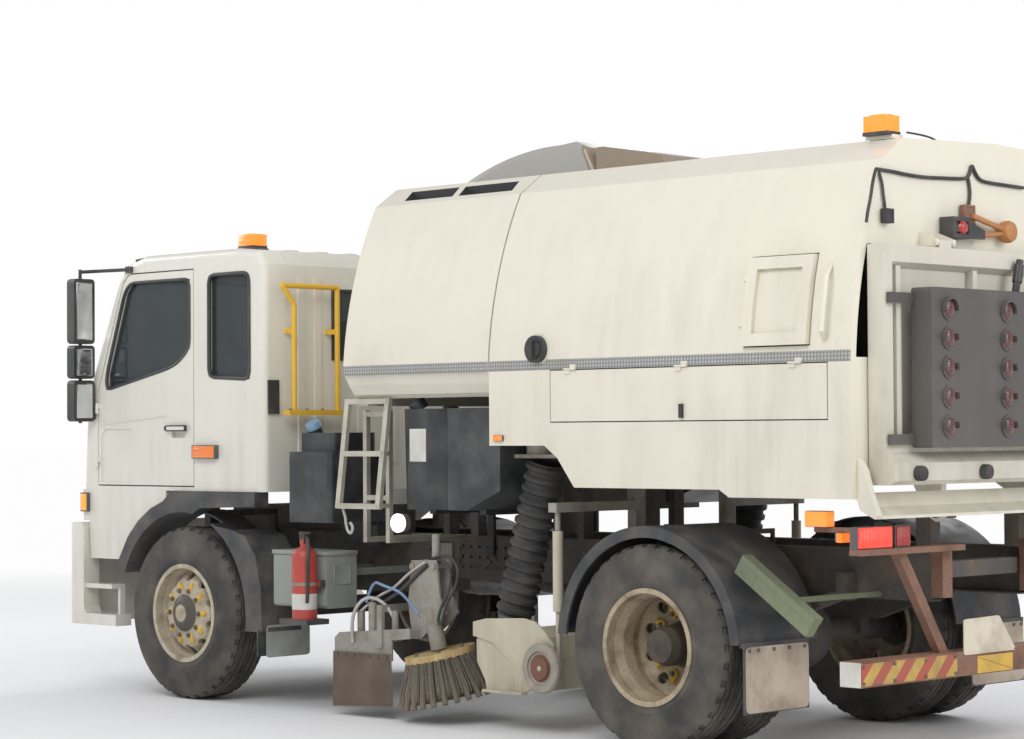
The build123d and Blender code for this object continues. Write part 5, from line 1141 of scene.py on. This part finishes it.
def dress_tail():
    """The tail bar's chevrons and blank plates, the flaps' sheets, and their bolts."""
    bar, flap = rear(-1.330), rear(-0.632) - 0.0036
    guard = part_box("front_mudguards")[0][0] - 0.0002
    cream = [(-0.076, 0.502), (0.373, 0.502), (0.373, 0.676), (0.070, 0.682)]
    for name, finish, both, outline, cut, thick, x, border, depth in (
            ("tail_bar_chevrons", "chevrons", True, rectangle((0.430, 0.408), (1.196, 0.512)),
             0.006, 0.004, bar - 0.0035, 0.004, 0.0004),
            ("yellow_plate", "plate_yellow", False, rectangle((-0.048, 0.405), (0.256, 0.490)),
             0.006, 0.004, bar - 0.0035, 0.006, 0.0008),
            ("cream_plate", "flap_cream", False, cream, 0.012, 0.006, bar - 0.0055, 0.010, 0.001),
            ("rear_flap_sheet", "flap_brown", True, rectangle((0.706, 0.230), (1.194, 0.552)),
             0.030, 0.004, flap, 0.014, 0.0012),
            ("front_flap_sheet", "flap_grey", True, rectangle((0.795, 0.290), (1.128, 0.480)),
             0.020, 0.004, guard, 0.012, 0.0010)):
        settle(round_plate(outline, cut, thick, "YZ", x, border, depth), name, "truck", finish, both)
    bar_places = [(bar - 0.004, y, z) for y in (0.445, 0.69, 0.94, 1.183) for z in (0.420, 0.500)]
    bolts("tail_bar_bolts", bar_places, (-1, 0, 0), "truck", 0.009, 0.006)
    flap_places = [(flap, y, 0.535) for y in (0.74, 0.86, 0.98, 1.10, 1.17)]
    bolts("rear_flap_bolts", flap_places, (-1, 0, 0), "truck", 0.010, 0.006)


def dress_camera():
    """The rear camera with its bracket, and the stay on the lamp board."""
    edge = rear(-1.2915)
    body = cushion((edge - 0.085, 0.335, 2.540), (edge - 0.004, 0.485, 2.645), 0.014, "-x", 0.022, 0.010, 3)
    pick_faces(body, facing("-y"))
    bpy.ops.mesh.inset(thickness=0.010, depth=0)
    bpy.ops.mesh.extrude_region_move(TRANSFORM_OT_translate={"value": (0, -0.150, -0.025)})
    bpy.ops.transform.resize(value=(0.6, 1.0, 0.5))
    leave_edit()
    finish_piece(body, "camera_body", "hopper", "black_plastic")
    arm = rod((edge - 0.040, 0.262, 2.660), (edge - 0.046, -0.030, 2.600), 0.015)
    brace = rod((edge - 0.040, 0.190, 2.565), (edge - 0.046, -0.030, 2.590), 0.012)
    finish_piece(one_piece([arm, brace]), "camera_arm", "hopper", "rust_orange")
    ram = rod((rear(-1.420), -0.020, 2.450), (rear(-1.424), 0.030, 2.2835), 0.019)
    collar = band((rear(-1.4206), -0.012, 2.425), (rear(-1.4228), 0.014, 2.335), 0.019, 0.006)
    finish_piece(one_piece([ram, collar]), "board_stay", "rear_door", "black_plastic")


def dress_glazing():
    """Windscreen and rear window seals, and the wipers."""
    for name, low_x, high_x, half, low_z, high_z, radius in (
            ("windscreen_seal", 0.921, 0.648, 1.05, 1.966, 2.577, 0.013),
            ("rear_window_seal", -0.757, -0.757, 0.600, 2.055, 2.470, 0.012)):
        corners = ((low_x, half, low_z), (low_x, -half, low_z),
                   (high_x, -half, high_z), (high_x, half, high_z))
        seal([(front(x), y, z) for x, y, z in corners], radius, name, "truck")
    hub_profile = ((0.0005, 0.014), (0.014, 0.012), (0.018, 0.0), (0.018, -0.040), (0.0005, -0.040))
    blade_run = Vector((-0.085, 0.30, 0.19))
    for index, y in enumerate((0.55, -0.25)):
        pivot, tip = Vector((front(0.944), y, 1.925)), Vector((front(0.842), y - 0.53, 2.170))
        hub = turned(hub_profile, pivot, (0.91, 0, 0.41), 24)
        arm = rod(pivot, tip, 0.006, 12)
        blade = rod(tip - blade_run, tip + blade_run * 0.6, 0.008, 12)
        finish_piece(one_piece([hub, arm, blade]), "wiper_%d" % index, "truck", "black_plastic")


def dress_sides():
    """Straps on the tank and the extinguisher, and bolts along the frame and the rail's plate."""
    low, high = fuel_low, fuel_high
    section = rounded([(low[1] - 0.002, low[2] - 0.002), (low[1] - 0.002, high[2] + 0.002),
                       (high[1], high[2] + 0.002), (high[1], low[2] - 0.002)], 0.088)
    for index, x in enumerate((rear(2.640), rear(2.940))):
        strap = tube_along([(x, y, z) for y, z in section], 0.006, smooth=False, closed=True)
        finish_piece(strap, "fuel_strap_%d" % index, "truck", "worn_steel", 60)
    for name, bottom, top, radius, thick, finish in (
            ("extinguisher_band", 0.735, 0.755, 0.0725, 0.003, "worn_steel"),
            ("extinguisher_sleeve", 0.600, 0.690, 0.0722, 0.0006, "label_pale")):
        ring = band((rear(2.610), 1.220, bottom), (rear(2.610), 1.220, top), radius, thick)
        finish_piece(ring, name, "truck", finish)
    rail_places = [(front(-0.845), y, 1.745) for y in (0.630, 0.760, 0.880, 1.010)]
    bolts("rail_plate_bolts", rail_places, (0, 0, 1), "truck", both=False)
    frame_places = [(rear(x), 0.4265, z)
                    for x in (0.9, 1.15, 1.4, 1.65, 1.9, 2.15, 2.4) for z in (0.86, 0.93)]
    bolts("frame_bolts", frame_places, (0, 1, 0), "truck", 0.012, 0.010)


def brush_strands():
    """Fine dark bristles among a channel brush's tufts: one strand, copied round the hub."""
    count, long, root_depth = 234, 0.18, -0.030
    full_lean = math.atan2(0.102, 0.252)
    lean_of_disc = turn_to(brush_up.normalized()).to_matrix().to_4x4()
    clear_choice()
    bpy.ops.mesh.primitive_cylinder_add(vertices=5, radius=0.0048, depth=long, location=(0, 0, long / 2))
    strand = bpy.context.object
    place_into_mesh()
    pick_faces(strand, facing("+z"))
    bpy.ops.mesh.extrude_region_move(TRANSFORM_OT_translate={"value": (0.008, 0, 0.045)})
    bpy.ops.transform.resize(value=(0.5, 0.5, 1.0))
    leave_edit()
    apply_all(strand, "strand")
    copies = []
    for index in range(count):
        turn = math.tau * index / count + 0.013 * math.sin(index * 5.1)
        ring = 0.158 + 0.036 * ((index * 7) % 5) / 4
        lean = full_lean * (0.80 + 0.35 * ((index * 11) % 7) / 6)
        out = Matrix.Rotation(turn, 4, "Z") @ Matrix.Translation((ring, 0, root_depth))
        twin = copy_of(strand)
        tilt = Matrix.Rotation(math.pi - lean, 4, "Y")
        twin.data.transform(Matrix.Translation(brush_middle) @ lean_of_disc @ out @ tilt)
        copies.append(twin)
    bpy.data.objects.remove(strand)
    settle(one_piece(copies), "brush_strands", "channel_brush_*", "bristle_dark", True, 50)


def dress_brushes():
    """The channel brush's strands and disc bolts, and the curtain's dark rubber sheet with its bolts."""
    brush_strands()
    bolt_circle, bolt_count = 0.150, 6
    lean_of_disc = turn_to(brush_up.normalized()).to_matrix()
    turns = [math.tau * index / bolt_count for index in range(bolt_count)]
    ring = [Vector((bolt_circle * math.cos(t), bolt_circle * math.sin(t), -0.0045)) for t in turns]
    places = [brush_middle + lean_of_disc @ place for place in ring]
    bolts("brush_disc_bolts", places, brush_up, "channel_brush_*", 0.011, 0.009)
    curtain = [(rear(1.980), 0.080), (rear(2.472), 0.052), (rear(2.463), 0.364), (rear(1.996), 0.370)]
    sheet = round_plate(curtain, 0.012, 0.004, "XZ", 1.1265, 0.010, 0.001, "+y")
    settle(sheet, "curtain_sheet", "brush_arm_*", "curtain_brown")
    places = [(rear(2.020 + 0.068 * index), 1.1300, 0.350) for index in range(7)]
    bolts("curtain_bolts", places, (0, 1, 0), "brush_arm_*", 0.009, 0.006)


def main():
    place_camera()
    light_the_room()
    make_finishes()
    dress_solids()
    dress_wheels()
    reflective_strips()
    cab_seals()
    dress_from_tables()
    dress_lamps()
    dress_tail()
    dress_camera()
    dress_glazing()
    dress_sides()
    dress_brushes()


def lay_floor():
    """A wide pale floor that isn't part of the truck."""
    clear_choice()
    under_tyres = (0, 0, solid_box[0][2] - 0.001)
    bpy.ops.mesh.primitive_circle_add(vertices=64, radius=260, fill_type="NGON", location=under_tyres)
    floor = bpy.context.object
    floor.name = "studio_floor"
    f = Finish("floor_grey")
    # Pale grey by the truck, running out into the white of the room.
    away = f.math("SQRT", f.plus(f.math("POWER", f.axis("X"), 2.0), f.math("POWER", f.axis("Y"), 2.0)))
    far = f.range(away, 5.0, 17.0)
    near = f.mix(f.range(f.noise(0.8, 4.0), 0.3, 0.8), (0.86, 0.86, 0.86), (0.83, 0.83, 0.835))
    f.colour(far, near, (0.0, 0.0, 0.0))
    f.set(Roughness=0.85, Emission_Color=(1.0, 1.0, 1.0, 1.0))
    f.join(f.times(far, 0.985), f.shader.inputs["Emission Strength"])
    f.join(f.range(far, 0.0, 1.0, 0.3, 0.0), f.shader.inputs["Specular IOR Level"])
    floor.data.materials.append(f.material)


bpy.context.scene.view_settings.view_transform = "Standard"
lay_floor()
main()
